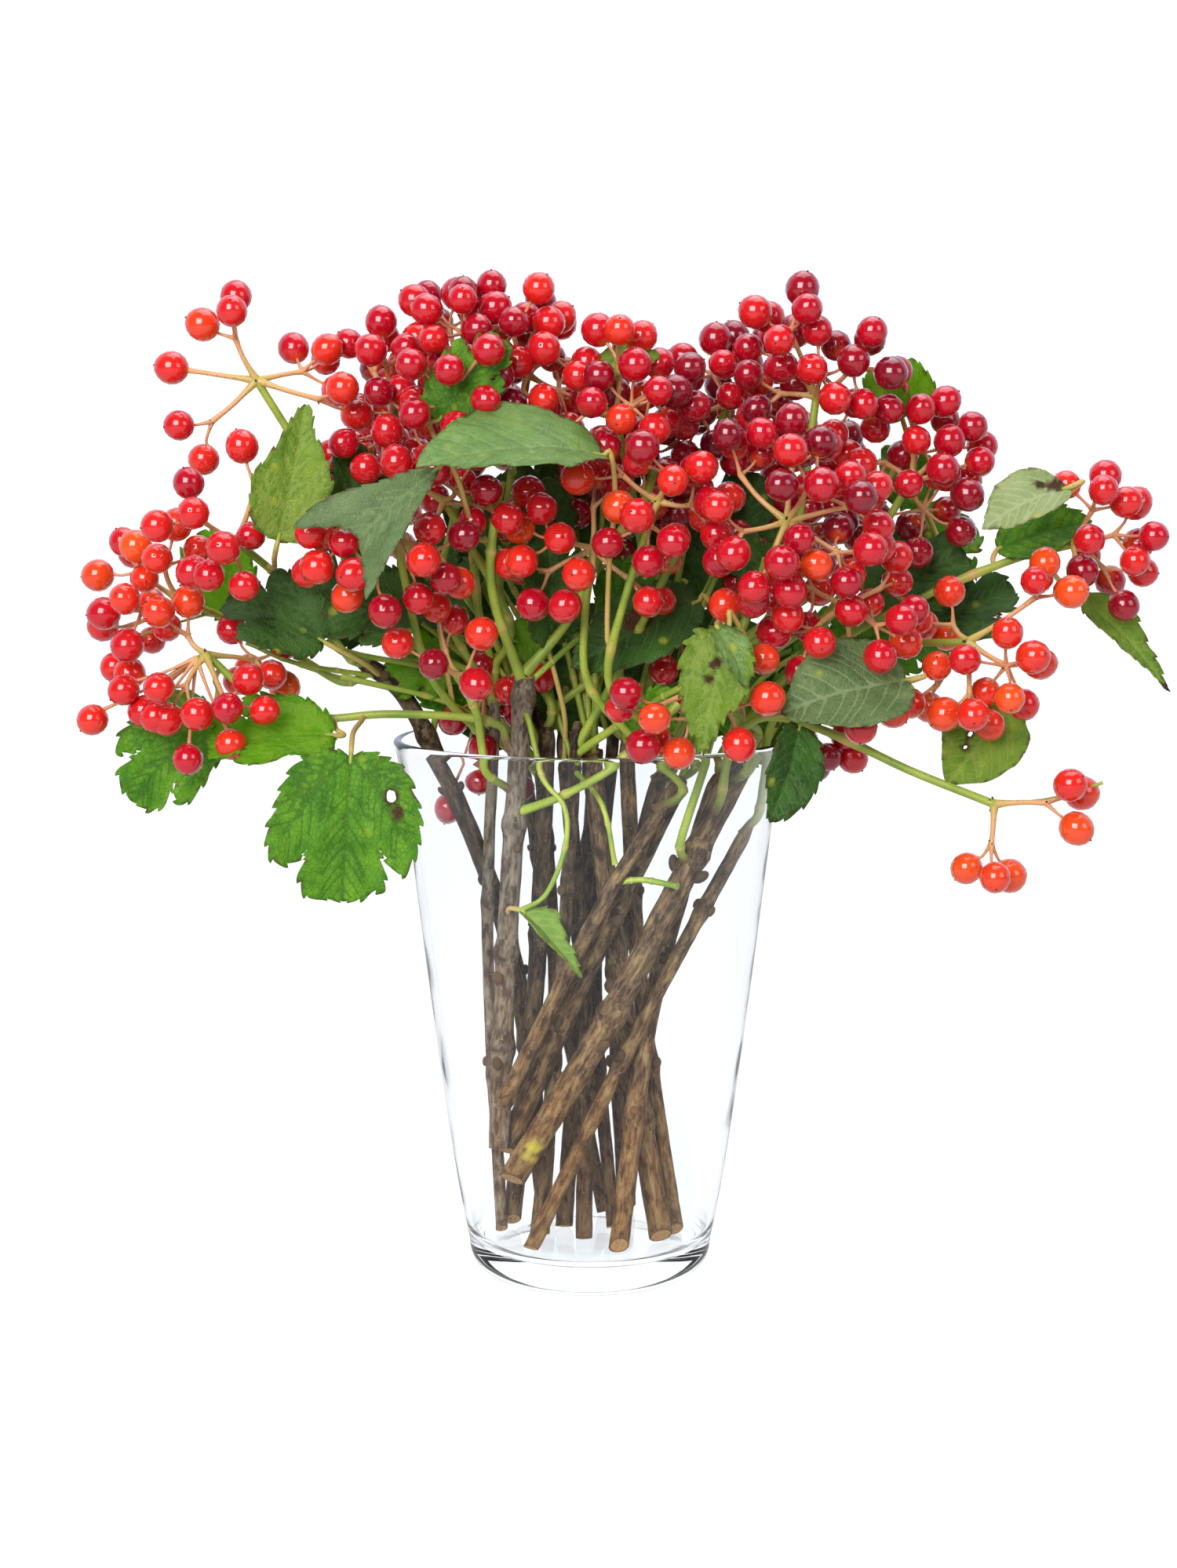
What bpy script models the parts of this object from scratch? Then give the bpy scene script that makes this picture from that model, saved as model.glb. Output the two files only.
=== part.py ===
"""Cut guelder rose branches with red berries and lobed leaves in a clear tapered glass vase.

The origin is the centre of the vase's flat foot, +Z is up and the front faces -Y. Places and sizes
are in millimetres, and the meshes are made in metres. Canes stand in the vase, green shoots leave
the canes and end in umbels of berries, and leaves hang from canes and shoots on their petioles.
Every piece keeps SEAT_GAP to the piece that carries it.
"""

import math
from dataclasses import dataclass

import bmesh
import bpy
import numpy as np
from mathutils import Quaternion, Vector

MM = 0.001
SEAT_GAP = 0.3
CLEARANCE = 0.5

# Vase: outer profile, wall and base.
VASE_HEIGHT = 180.0
VASE_RIM_RADIUS = 65.0
VASE_HEEL_RADIUS = 40.0
VASE_HEEL_HEIGHT = 10.0
VASE_FOOT_RADIUS = 34.0
VASE_WALL = 3.0
VASE_FLOOR = 10.0
VASE_FLOOR_RADIUS = 34.5
VASE_SIDES = 44

# Round members: number of sides, and the radii of the thin green ones.
CANE_SIDES = 8
CANE_RINGS = 7
SHOOT_SIDES = 6
SHOOT_RINGS = 6
SHOOT_RADIUS = 1.9
RAY_RADIUS = 1.25
PEDICEL_RADIUS = 0.95
PETIOLE_RADIUS = 1.3
HUB_RADIUS = 4.2
FORK_RADIUS = 2.6
CANE_SWELL = 1.1

# A side member leaves its carrier at this angle from square, in degrees.
SEAT_LEAN = 40.0

# Rays of a hub and berries of a fork keep these angles to each other, in degrees.
RAY_APART = 44.0
BERRY_APART = 50.0

# Berries: radius, distance from the fork, how they vary, and the lean of a fork's berries by their number.
BERRY_RADIUS = 5.3
BERRY_SPREAD = 0.35
BERRY_DISTANCE = 11.0
BERRY_STAGGER = 1.6
BERRY_TRIES = 18
BERRY_TURN = 0.7
RAY_TURN = 1.9
PEDICEL_NECK = 0.5
FORK_LEANS = {2: 38.0, 3: 42.0, 4: 50.0}

# A 20-sided ball of radius 1 seen along a face's normal: height and radius of its two upper rings.
NEAR_RING = (0.7947, 0.6071)
MID_RING = (0.1876, 0.9822)

# Leaf blades.
LEAF_THICKNESS = 0.9
LEAF_ROOM = 2.0
NECK_LENGTH = 2.5
LEAF_STATIONS = (0.0, 0.14, 0.3, 0.45, 0.62, 0.8, 1.0)
LOBED_WIDTHS = (0.34, 0.86, 1.0, 0.66, 0.72, 0.46, 0.06)
OVAL_WIDTHS = (0.22, 0.62, 0.92, 1.0, 0.86, 0.52, 0.06)


@dataclass(frozen=True)
class Cane:
    """A woody cane: centre line from the cut bottom up, end radii, and if the vase's floor bears it."""

    name: str
    line: tuple
    bottom_radius: float
    top_radius: float
    on_floor: bool = True


@dataclass(frozen=True)
class Spray:
    """A green shoot with its umbel: where it leaves its cane, and its rays as (x, y, z, berries)."""

    name: str
    cane: str
    along: float
    bends: tuple
    hub: tuple
    rays: tuple


@dataclass(frozen=True)
class Leaf:
    """A blade from base to tip with the side its face looks to, and the carrier of its petiole."""

    name: str
    carrier: str
    along: float
    base: tuple
    tip: tuple
    face: tuple
    width: float
    lobed: bool = True
    droop: float = 30.0
    fold: float = 14.0
    twist: float = 0.0


CANES = (
    Cane("cane_thick_right", ((-27, -20, 33), (8, -26, 94), (50, -20, 176)), 4.0, 3.6, False),
    Cane("cane_mid_right", ((-29, -8.8, 40), (-4, -14, 98), (30, -9, 168)), 3.3, 3.0, False),
    Cane("cane_short_right", ((-29, -21.4, 60), (2, -24, 124), (24, -21, 160)), 2.4, 2.1, False),
    Cane("cane_front_left", ((-30, -15, 44), (-27, -18, 115), (-21, -24, 203)), 3.2, 3.0, False),
    Cane("cane_thin_left", ((-30, 2, 12), (-34, -4, 110), (-31, -6, 196)), 1.9, 1.7),
    Cane("cane_thin_right", ((-20, -23, 13), (15, -19, 84), (52, -12, 152)), 2.3, 2.1),
    Cane("cane_front_right", ((9, -25, 13), (21, -11, 95), (43, 4, 168)), 3.0, 2.6),
    Cane("cane_right_leaning", ((29, 9, 14), (9, 12, 100), (1, 8, 168)), 2.8, 2.5),
    Cane("cane_right_stout", ((24, -11, 14), (11, -5, 90), (0, -3, 176)), 3.6, 3.1),
    Cane("cane_right_pale", ((29, -2, 15), (17, 3, 95), (12, 9, 178)), 2.7, 2.4),
    Cane("cane_centre_left", ((-9, 6, 13), (-3, 9, 92), (2, 24, 174)), 2.7, 2.4),
    Cane("cane_centre", ((-2, -4, 13), (-2, 1, 92), (-9, -1, 182)), 2.6, 2.3),
    Cane("cane_back_left", ((5, 23, 14), (-12, 20, 100), (-24, 17, 180)), 2.2, 2.0),
    Cane("cane_rim_left", ((-15, 17, 13), (-27, 7, 108), (-57, 0, 186), (-77, -2, 207)), 3.0, 2.6),
    Cane("cane_left_stout", ((-27, 7, 14), (-18, -3, 100), (-14, -7, 184)), 2.9, 2.6),
    Cane("cane_back_right", ((13, 27, 14), (10, 25, 100), (24, 14, 168)), 3.0, 2.6),
)

SPRAYS = (
    Spray("spray_upper_left", "cane_rim_left", 1.0, ((-92, -10, 248),), (-106, -20, 296), (
        (-6, -4, 13, 3), (-27, 0, 4, 1), (-14, -3, -13, 2), (-11, 2, -29, 1), (14, 5, 3, 3), (20, -6, -6, 2))),
    Spray("spray_left_front", "cane_rim_left", 0.96, ((-98, -22, 222),), (-112, -30, 245), (
        (-10, -6, 7, 2), (1, -9, -4, 2), (7, -6, 18, 3), (-13, -6, -9, 1), (12, 4, 4, 2))),
    Spray("spray_far_left", "cane_rim_left", 0.92, ((-108, 0, 214),), (-134, -10, 226), (
        (-3, -8, 11, 3), (-13, 5, 9, 3), (-10, -9, -3, 3), (-17, 2, -9, 3), (-27, -2, -38, 1), (-30, 0, 5, 1))),
    Spray("spray_low_left", "cane_front_left", 0.88, ((-66, -26, 190), (-98, -24, 190)), (-123, -25, 209), (
        (-6, 2, 6, 3), (-13, 5, -9, 3), (-5, -9, -9, 3), (8, -7, -14, 2), (14, 8, -7, 2))),
    Spray("spray_mid_left_low", "cane_thin_left", 0.9, ((-52, -30, 205),), (-60, -45, 246), (
        (-17, -4, -2, 2), (-8, -6, -9, 3), (4, -9, -7, 3), (12, 0, -3, 2), (2, -4, 12, 2))),
    Spray("spray_mid_left", "cane_thin_left", 1.0, ((-34, -16, 225),), (-46, -32, 258), (
        (-4, -8, -6, 2), (2, -8, 5, 2), (14, -4, -2, 2), (-14, 4, 10, 3))),
    Spray("spray_top_left", "cane_rim_left", 0.8, ((-62, 2, 235),), (-63, -12, 290), (
        (-9, -6, -6, 3), (-7, 7, 9, 4), (4, -10, -6, 4), (9, -2, 9, 4), (-1, 10, -4, 3), (-2, -6, 11, 2))),
    Spray("spray_top_mid_left", "cane_back_left", 1.0, ((-36, 6, 235),), (-40, -18, 301), (
        (-8, -9, 4, 4), (-5, 6, 12, 4), (7, -10, -2, 4), (9, 3, 11, 4), (1, -10, 13, 3), (1, 11, 1, 3))),
    Spray("spray_top_mid", "cane_left_stout", 1.0, ((-16, -2, 240),), (-20, -18, 298), (
        (-4, -9, -6, 4), (1, 7, 13, 4), (8, -8, 5, 4), (10, 3, -5, 4), (-3, -7, 13, 4))),
    Spray("spray_centre_top", "cane_centre", 1.0, ((-2, -4, 235),), (8, -32, 284), (
        (-8, -7, 2, 4), (5, -9, 3, 4), (11, -1, 8, 4), (1, -2, 17, 3), (-8, 5, 10, 3))),
    Spray("spray_centre", "cane_mid_right", 1.0, ((20, -25, 215),), (21, -47, 258), (
        (-11, -4, 8, 4), (3, -9, 8, 4), (-3, -9, -7, 4), (10, -2, -1, 3))),
    Spray("spray_centre_low", "cane_short_right", 1.0, ((8, -24, 200),), (1, -35, 243), (
        (-12, -5, 3, 3), (0, -9, -7, 3), (8, -6, -9, 2), (-14, 4, -7, 2), (-2, -1, 13, 2), (-9, -6, -22, 1))),
    Spray("spray_top_right", "cane_right_pale", 1.0, ((44, -2, 235),), (72, -20, 291), (
        (-9, -5, 20, 2), (-3, -7, 9, 3), (9, -5, 9, 3), (12, 3, -2, 2), (-11, 4, 1, 3), (-13, 7, 13, 3))),
    Spray("spray_right_main", "cane_thick_right", 1.0, ((56, -36, 215),), (60, -58, 252), (
        (-16, 3, 14, 2), (-14, -6, -3, 4), (-5, -7, -14, 4), (6, -8, 11, 4), (16, -6, 6, 4), (14, -4, -8, 4),
        (2, 5, 17, 4))),
    Spray("spray_right_low", "cane_thick_right", 0.96, ((62, -34, 200),), (79, -50, 226), (
        (9, -4, -6, 4), (-7, -8, -10, 4), (11, 4, 5, 3), (-10, 3, 5, 3), (10, -3, -21, 2))),
    Spray("spray_right_back", "cane_back_right", 1.0, ((34, 12, 235),), (46, 8, 290), (
        (-6, -8, 9, 4), (7, -9, -1, 4), (-10, -1, -4, 4), (6, 5, 10, 4), (1, 11, -4, 3))),
    Spray("spray_right_up", "cane_front_right", 1.0, ((70, 0, 225),), (104, -8, 264), (
        (0, -4, 18, 3), (8, -7, 3, 4), (-9, -4, 6, 3), (5, 5, -9, 4), (11, 3, 11, 3))),
    Spray("spray_far_right", "cane_front_right", 0.97, ((80, -6, 205), (130, -10, 232)), (156, -14, 244), (
        (5, -5, 11, 3), (13, 0, 3, 3), (11, 4, -8, 3), (0, -6, -7, 1))),
    Spray("spray_right_orange", "cane_thin_right", 1.0, ((54, -15, 180), (76, -24, 203)), (119, -38, 214), (
        (21, 0, 14, 3), (11, -7, -7, 4), (21, -4, -5, 3), (0, -5, -16, 3), (-9, 4, -14, 3), (-6, 6, 5, 2))),
    Spray("spray_rim_front", "cane_thick_right", 0.8, ((39, -40, 188),), (32, -58, 200), (
        (-11, -6, -4, 2), (-3, -13, -6, 4), (8, -11, -5, 3), (12, -2, 6, 2))),
    Spray("spray_low_right", "cane_thick_right", 0.9, ((52, -33, 187), (70, -40, 189), (98, -50, 177)),
          (125, -58, 165), ((15, -4, 1, 3), (-1, -2, -12, 3), (27, 0, 5, 1))),
    Spray("spray_rim_left", "cane_front_left", 0.8, ((-36, -30, 190),), (-42, -34, 203), (
        (-6, -8, 4, 2), (4, -10, 3, 2), (-4, 4, 8, 2))),
    Spray("spray_back_left", "cane_back_left", 0.96, ((-52, 34, 220),), (-72, 44, 262), (
        (-8, 8, 6, 4), (8, 8, 8, 4), (0, 10, -8, 4), (-14, -2, -4, 4), (4, -6, 13, 4))),
    Spray("spray_back_right", "cane_back_right", 0.96, ((50, 36, 215),), (74, 42, 256), (
        (-8, 9, 6, 4), (9, 7, 8, 4), (0, 10, -8, 4), (13, -3, -6, 4), (0, -6, 13, 4))),
)

LEAVES = (
    Leaf("leaf_centre", "spray_centre", 0.75,
         (4, -58, 272), (-52, -74, 268), (0.0, -0.42, 0.9), 50, False, 34, 10),
    Leaf("leaf_centre_hanging", "spray_mid_left", 0.8,
         (-46, -62, 268), (-75, -68, 241), (-0.25, -0.9, 0.3), 34),
    Leaf("leaf_upper_left", "spray_left_front", 0.8,
         (-97, -44, 246), (-88, -42, 288), (0.3, -0.94, 0.1), 30),
    Leaf("leaf_left_dark", "spray_top_left", 0.45,
         (-79, -16, 242), (-75, -18, 276), (0.2, -0.95, 0.1), 24),
    Leaf("leaf_left_low_dark", "cane_rim_left", 0.87,
         (-86, -20, 213), (-117, -18, 226), (0.0, -0.8, 0.6), 28),
    Leaf("leaf_inner_left", "spray_mid_left_low", 0.5,
         (-55, -18, 226), (-84, -26, 218), (0.0, -0.85, 0.5), 28),
    Leaf("leaf_low_far_left", "spray_low_left", 0.95,
         (-124, -12, 191), (-149, -15, 160), (0.1, -0.9, 0.4), 32),
    Leaf("leaf_low_left", "spray_low_left", 0.62,
         (-82, -34, 184), (-121, -38, 180), (0.0, -0.6, 0.8), 32),
    Leaf("leaf_hanging_left", "spray_low_left", 0.55,
         (-74, -56, 180), (-77, -60, 135), (0.05, -1.0, 0.15), 46),
    Leaf("leaf_inner_upright", "cane_centre", 0.95,
         (-13, -22, 213), (-15, -26, 252), (0.5, -0.85, 0.0), 22),
    Leaf("leaf_inner_dark", "spray_right_main", 0.25,
         (35, -20, 226), (-6, -26, 205), (0.1, -0.9, 0.45), 26, False),
    Leaf("leaf_rim_crinkled", "spray_right_main", 0.5,
         (42, -68, 220), (34, -76, 182), (-0.3, -0.92, 0.1), 24),
    Leaf("leaf_rim_grey", "spray_right_low", 0.45,
         (98, -52, 203), (58, -66, 194), (0.1, -0.8, 0.6), 34, False),
    Leaf("leaf_rim_dark", "spray_low_right", 0.5,
         (64, -64, 190), (54, -76, 162), (0.5, -0.85, 0.1), 20, False),
    Leaf("leaf_right_low", "spray_right_orange", 0.75,
         (135, -28, 194), (114, -32, 168), (0.1, -0.9, 0.4), 26, False),
    Leaf("leaf_far_right", "spray_far_right", 0.9,
         (158, -6, 228), (189, -10, 196), (0.4, -0.8, 0.5), 15, False),
    Leaf("leaf_right_pale", "spray_far_right", 0.75,
         (150, -33, 262), (123, -37, 249), (0.0, -0.6, 0.8), 22, False),
    Leaf("leaf_top_right", "spray_right_up", 0.85,
         (106, 4, 286), (105, 2, 304), (-0.4, -0.9, 0.1), 18, False),
    Leaf("leaf_top_left", "spray_top_mid_left", 0.75,
         (-47, -40, 283), (-26, -44, 307), (-0.2, -0.95, 0.2), 28),
)

BARK = (0.235, 0.145, 0.075, 1.0)
SHOOT_GREEN = (0.30, 0.36, 0.06, 1.0)
LEAF_GREEN = (0.09, 0.20, 0.035, 1.0)
CLEAR_GLASS = (0.93, 0.97, 0.97, 1.0)


def material(name, colour, roughness, transmission=0.0):
    """A Principled material for one piece."""
    made = bpy.data.materials.new(name)
    made.use_nodes = True
    shader = made.node_tree.nodes["Principled BSDF"]
    shader.inputs["Base Color"].default_value = colour
    shader.inputs["Roughness"].default_value = roughness
    shader.inputs["Metallic"].default_value = 0.0
    shader.inputs["Transmission Weight"].default_value = transmission
    made.diffuse_color = colour
    return made


def add_piece(name, mesh, look, sharp_angle=0.6):
    """Scale a bmesh from millimetres to metres and link it as the named piece."""
    bmesh.ops.recalc_face_normals(mesh, faces=mesh.faces)
    bmesh.ops.scale(mesh, vec=(MM, MM, MM), verts=mesh.verts)
    data = bpy.data.meshes.new(name)
    mesh.to_mesh(data)
    mesh.free()
    data.shade_smooth()
    data.set_sharp_from_angle(angle=sharp_angle)
    data.materials.append(look)
    piece = bpy.data.objects.new(name, data)
    bpy.context.scene.collection.objects.link(piece)
    return piece


def smooth_line(points, steps):
    """Evenly numbered points on a Catmull-Rom curve through the given points."""
    knots = [Vector(p) for p in points]
    knots = [2 * knots[0] - knots[1], *knots, 2 * knots[-1] - knots[-2]]
    line = []
    spans = len(knots) - 3
    for step in range(steps + 1):
        place = min(step / steps * spans, spans - 1e-6)
        span = int(place)
        t = place - span
        a, b, c, d = knots[span:span + 4]
        line.append(0.5 * (2 * b + (c - a) * t + (2 * a - 5 * b + 4 * c - d) * t ** 2
                           + (3 * b - 3 * c + d - a) * t ** 3))
    return line


def side_axes(direction):
    """Two unit vectors square to a direction and to each other."""
    side = direction.orthogonal().normalized()
    return side, direction.cross(side).normalized()


def ring(mesh, centre, axes, radius, sides):
    """A ring of vertices round a centre."""
    verts = []
    for k in range(sides):
        angle = 2 * math.pi * k / sides
        spoke = math.cos(angle) * axes[0] + math.sin(angle) * axes[1]
        verts.append(mesh.verts.new(centre + radius * spoke))
    return verts


def bridge(mesh, lower, upper):
    """A band of quads between two rings of the same number of vertices."""
    count = len(lower)
    for k in range(count):
        mesh.faces.new((lower[k], lower[(k + 1) % count], upper[(k + 1) % count], upper[k]))


def grow_tube(mesh, line, radii, sides, first=None, heading=None):
    """A tube along a line, from a given first ring or from a closed end. Returns its last ring."""
    direction = heading or (line[1] - line[0]).normalized()
    if first is None:
        axes = side_axes(direction)
        first = ring(mesh, line[0], axes, radii[0], sides)
        mesh.faces.new(first[::-1])
    else:
        spoke = (first[0].co - line[0]).normalized()
        axes = (spoke, direction.cross(spoke).normalized())
    last = first
    for k in range(1, len(line)):
        ahead = (line[min(k + 1, len(line) - 1)] - line[k - 1]).normalized()
        turn = direction.rotation_difference(ahead)
        axes = (turn @ axes[0], turn @ axes[1])
        direction = ahead
        grown = ring(mesh, line[k], axes, radii[k], sides)
        bridge(mesh, last, grown)
        last = grown
    return last


def grow_berry(mesh, centre, radius, back, stalk_end):
    """A 20-sided berry whose face towards `back` takes the last three vertices of its pedicel."""
    x_axis = stalk_end[0].co - centre
    x_axis = (x_axis - back * x_axis.dot(back)).normalized()
    y_axis = x_axis.cross(back)
    layers = []
    plan = ((1, NEAR_RING, 0), (1, MID_RING, 1), (-1, MID_RING, 0), (-1, NEAR_RING, 1))
    for hand, (height, wide), start in plan:
        turned = Quaternion(-back, start * math.pi / 3)
        axes = (turned @ x_axis, turned @ y_axis)
        layers.append(ring(mesh, centre + back * height * hand * radius, axes, wide * radius, 3))
    near, upper, lower, far = layers
    bridge(mesh, stalk_end, near)
    for k in range(3):
        after = (k + 1) % 3
        before = (k + 2) % 3
        for corners in ((near[k], upper[k], near[after]), (near[k], lower[k], upper[k]),
                        (near[k], upper[before], lower[k]), (upper[k], lower[k], far[k]),
                        (upper[k], far[k], lower[after]), (lower[k], far[before], far[k])):
            mesh.faces.new(corners)
    mesh.faces.new(far)


def grow_joint(mesh, centre, radius, inlet, outlets):
    """The swollen joint that webs an inlet ring to its outlet rings, all on one sphere."""
    rings = [inlet, *outlets]
    corners = [vert for loop in rings for vert in loop]
    places = {vert: index for index, loop in enumerate(rings) for vert in loop}
    hull = bmesh.ops.convex_hull(mesh, input=corners, use_existing_faces=False)
    for face in [f for f in hull["geom"] if isinstance(f, bmesh.types.BMFace)]:
        if len({places[vert] for vert in face.verts}) == 1:
            mesh.faces.remove(face)
    for loop in rings:
        for vert in loop:
            for edge in [e for e in vert.link_edges if not e.link_faces]:
                mesh.edges.remove(edge)


class Space:
    """The room already taken, as capsules: two ends, a radius and the piece that owns each."""

    def __init__(self):
        self.starts = np.empty((0, 3))
        self.ends = np.empty((0, 3))
        self.radii = np.empty(0)
        self.owners = []

    def take(self, start, end, radius, owner):
        """Mark a capsule as taken."""
        self.starts = np.vstack((self.starts, np.array(start)))
        self.ends = np.vstack((self.ends, np.array(end)))
        self.radii = np.append(self.radii, radius)
        self.owners.append(owner)

    def take_line(self, line, radius, owner):
        """Mark the capsules along a line as taken."""
        for start, end in zip(line[:-1], line[1:]):
            self.take(start, end, radius, owner)

    def room(self, start, end, radius, skip=()):
        """The smallest free distance between a capsule and everything taken by others."""
        kept = np.array([owner not in skip for owner in self.owners], dtype=bool)
        length = (Vector(end) - Vector(start)).length
        count = max(2, int(length / 1.5) + 1)
        shares = np.linspace(0.0, 1.0, count)[:, None]
        points = np.array(start) * (1 - shares) + np.array(end) * shares
        free = float(np.min(vase_room(points))) - radius
        if kept.any():
            starts, spans = self.starts[kept], self.ends[kept] - self.starts[kept]
            squares = np.maximum((spans ** 2).sum(axis=1), 1e-9)
            offsets = points[:, None, :] - starts[None, :, :]
            along = np.clip((offsets * spans).sum(axis=2) / squares, 0.0, 1.0)
            gaps = np.linalg.norm(offsets - along[:, :, None] * spans, axis=2) - self.radii[kept]
            free = min(free, float(gaps.min()) - radius)
        return free

    def line_room(self, line, radius, skip=()):
        """The smallest free distance along a line."""
        return min(self.room(a, b, radius, skip) for a, b in zip(line[:-1], line[1:]))

    def roomiest(self, lines, radius, owner, carrier, seated):
        """The first line that keeps CLEARANCE, or the best. Its first points may be near its carrier."""
        best = None
        for line in lines:
            room = min(self.line_room(line[:seated], radius, (owner, carrier)),
                       self.line_room(line[1:], radius, (owner,)))
            if best is None or room > best[0]:
                best = (room, line)
            if room > CLEARANCE:
                break
        return best[1]


def vase_outer_radius(height):
    """The vase's outside radius at a height above its heel."""
    share = (height - VASE_HEEL_HEIGHT) / (VASE_HEIGHT - VASE_HEEL_HEIGHT)
    return VASE_HEEL_RADIUS + (VASE_RIM_RADIUS - VASE_HEEL_RADIUS) * share


def vase_room(points):
    """The distance from each point to the vase's wall and floor."""
    spread = np.hypot(points[:, 0], points[:, 1])
    height = np.clip(points[:, 2], VASE_HEEL_HEIGHT, VASE_HEIGHT)
    outer = vase_outer_radius(height)
    sideways = np.maximum(spread - outer, outer - VASE_WALL - spread)
    above = np.maximum(points[:, 2] - VASE_HEIGHT, 0.0)
    wall = np.where(above > 0, np.hypot(np.maximum(sideways, 0.0), above), sideways)
    floor = np.where(spread < outer, points[:, 2] - VASE_FLOOR, 1e3)
    return np.minimum(wall, floor)


def make_vase():
    """The vase: a turned profile from the foot's centre, out, up, over the rim and down inside."""
    inner_rim = VASE_RIM_RADIUS - VASE_WALL
    half_wall = VASE_WALL / 2
    profile = [(VASE_FOOT_RADIUS, 0.0), (VASE_HEEL_RADIUS - 1.8, 3.2), (VASE_HEEL_RADIUS, VASE_HEEL_HEIGHT),
               (VASE_RIM_RADIUS, VASE_HEIGHT - half_wall), (VASE_RIM_RADIUS - 0.5, VASE_HEIGHT - 0.4),
               (VASE_RIM_RADIUS - half_wall, VASE_HEIGHT), (inner_rim + 0.5, VASE_HEIGHT - 0.4),
               (inner_rim, VASE_HEIGHT - half_wall),
               (vase_outer_radius(VASE_FLOOR + 4) - VASE_WALL, VASE_FLOOR + 4), (VASE_FLOOR_RADIUS, VASE_FLOOR)]
    mesh = bmesh.new()
    axes = (Vector((1, 0, 0)), Vector((0, 1, 0)))
    loops = [ring(mesh, Vector((0, 0, height)), axes, radius, VASE_SIDES) for radius, height in profile]
    for lower, upper in zip(loops[:-1], loops[1:]):
        bridge(mesh, lower, upper)
    mesh.faces.new(loops[0])
    mesh.faces.new(loops[-1])
    add_piece("vase", mesh, material("clear_glass", CLEAR_GLASS, 0.03, 1.0), 0.9)


def cane_line(cane):
    """A cane's centre line, with its cut end just above the floor where the floor bears it."""
    points = [Vector(point) for point in cane.line]
    if cane.on_floor:
        lean = (points[1] - points[0]).angle(Vector((0, 0, 1)))
        points[0].z = VASE_FLOOR + SEAT_GAP + cane.bottom_radius * math.sin(lean)
    return smooth_line(points, CANE_RINGS)


def cane_radii(cane):
    """The radius at each ring of a cane, swollen at every third ring where a bud pair sat."""
    radii = []
    for k in range(CANE_RINGS + 1):
        radius = cane.bottom_radius + (cane.top_radius - cane.bottom_radius) * k / CANE_RINGS
        radii.append(radius * (CANE_SWELL if k % 3 == 2 else 1.0))
    return radii


def make_canes(space):
    """All the canes. Returns each centre line and radius by name."""
    bark = material("bark", BARK, 0.8)
    lines = {}
    for cane in CANES:
        line = cane_line(cane)
        radii = cane_radii(cane)
        mesh = bmesh.new()
        top = grow_tube(mesh, line, radii, CANE_SIDES)
        mesh.faces.new(top)
        add_piece(cane.name, mesh, bark)
        space.take_line(line, max(radii), cane.name)
        lines[cane.name] = (line, radii)
    return lines


def seat_on(line, radii, along, towards, radius):
    """Where a thin member leaves a carrier: its first point, its first direction and the seat."""
    count = len(line) - 1
    place = along * count
    index = min(int(place), count - 1)
    axis = (line[index + 1] - line[index]).normalized()
    on_axis = line[index].lerp(line[index + 1], place - index)
    carrier_radius = max(radii[index], radii[index + 1])
    if along >= 1.0:
        return on_axis + axis * SEAT_GAP, axis
    aim = towards - on_axis
    outward = (aim - axis * aim.dot(axis)).normalized()
    lean = math.radians(SEAT_LEAN)
    direction = (outward * math.cos(lean) + axis * math.sin(lean)).normalized()
    reach = carrier_radius + SEAT_GAP + radius * math.sin(lean)
    return on_axis + outward * reach, direction


def turned_about(direction, lean, spin):
    """A direction leaned away from another by an angle and spun about it."""
    side, _ = side_axes(direction)
    leaned = Quaternion(side, lean) @ direction
    return (Quaternion(direction, spin) @ leaned).normalized()


def shoot_line(start, direction, bends, end, nudge):
    """A shoot's centre line from its seat to its hub, with its bends nudged aside."""
    reach = (Vector(end) - start).length
    lead = start + direction * min(9.0, 0.25 * reach)
    points = [start, lead, *[Vector(bend) + nudge for bend in bends], Vector(end)]
    return smooth_line(points, SHOOT_RINGS)


def nudges(step, rings):
    """Offsets to try in turn, from none outwards in widening shells."""
    tried = [Vector((0, 0, 0))]
    for shell in range(1, rings + 1):
        for turn in range(8):
            for rise in (0.0, -0.7, 0.7):
                angle = turn * math.pi / 4
                tried.append(Vector((math.cos(angle), math.sin(angle), rise)) * step * shell)
    return tried


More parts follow.
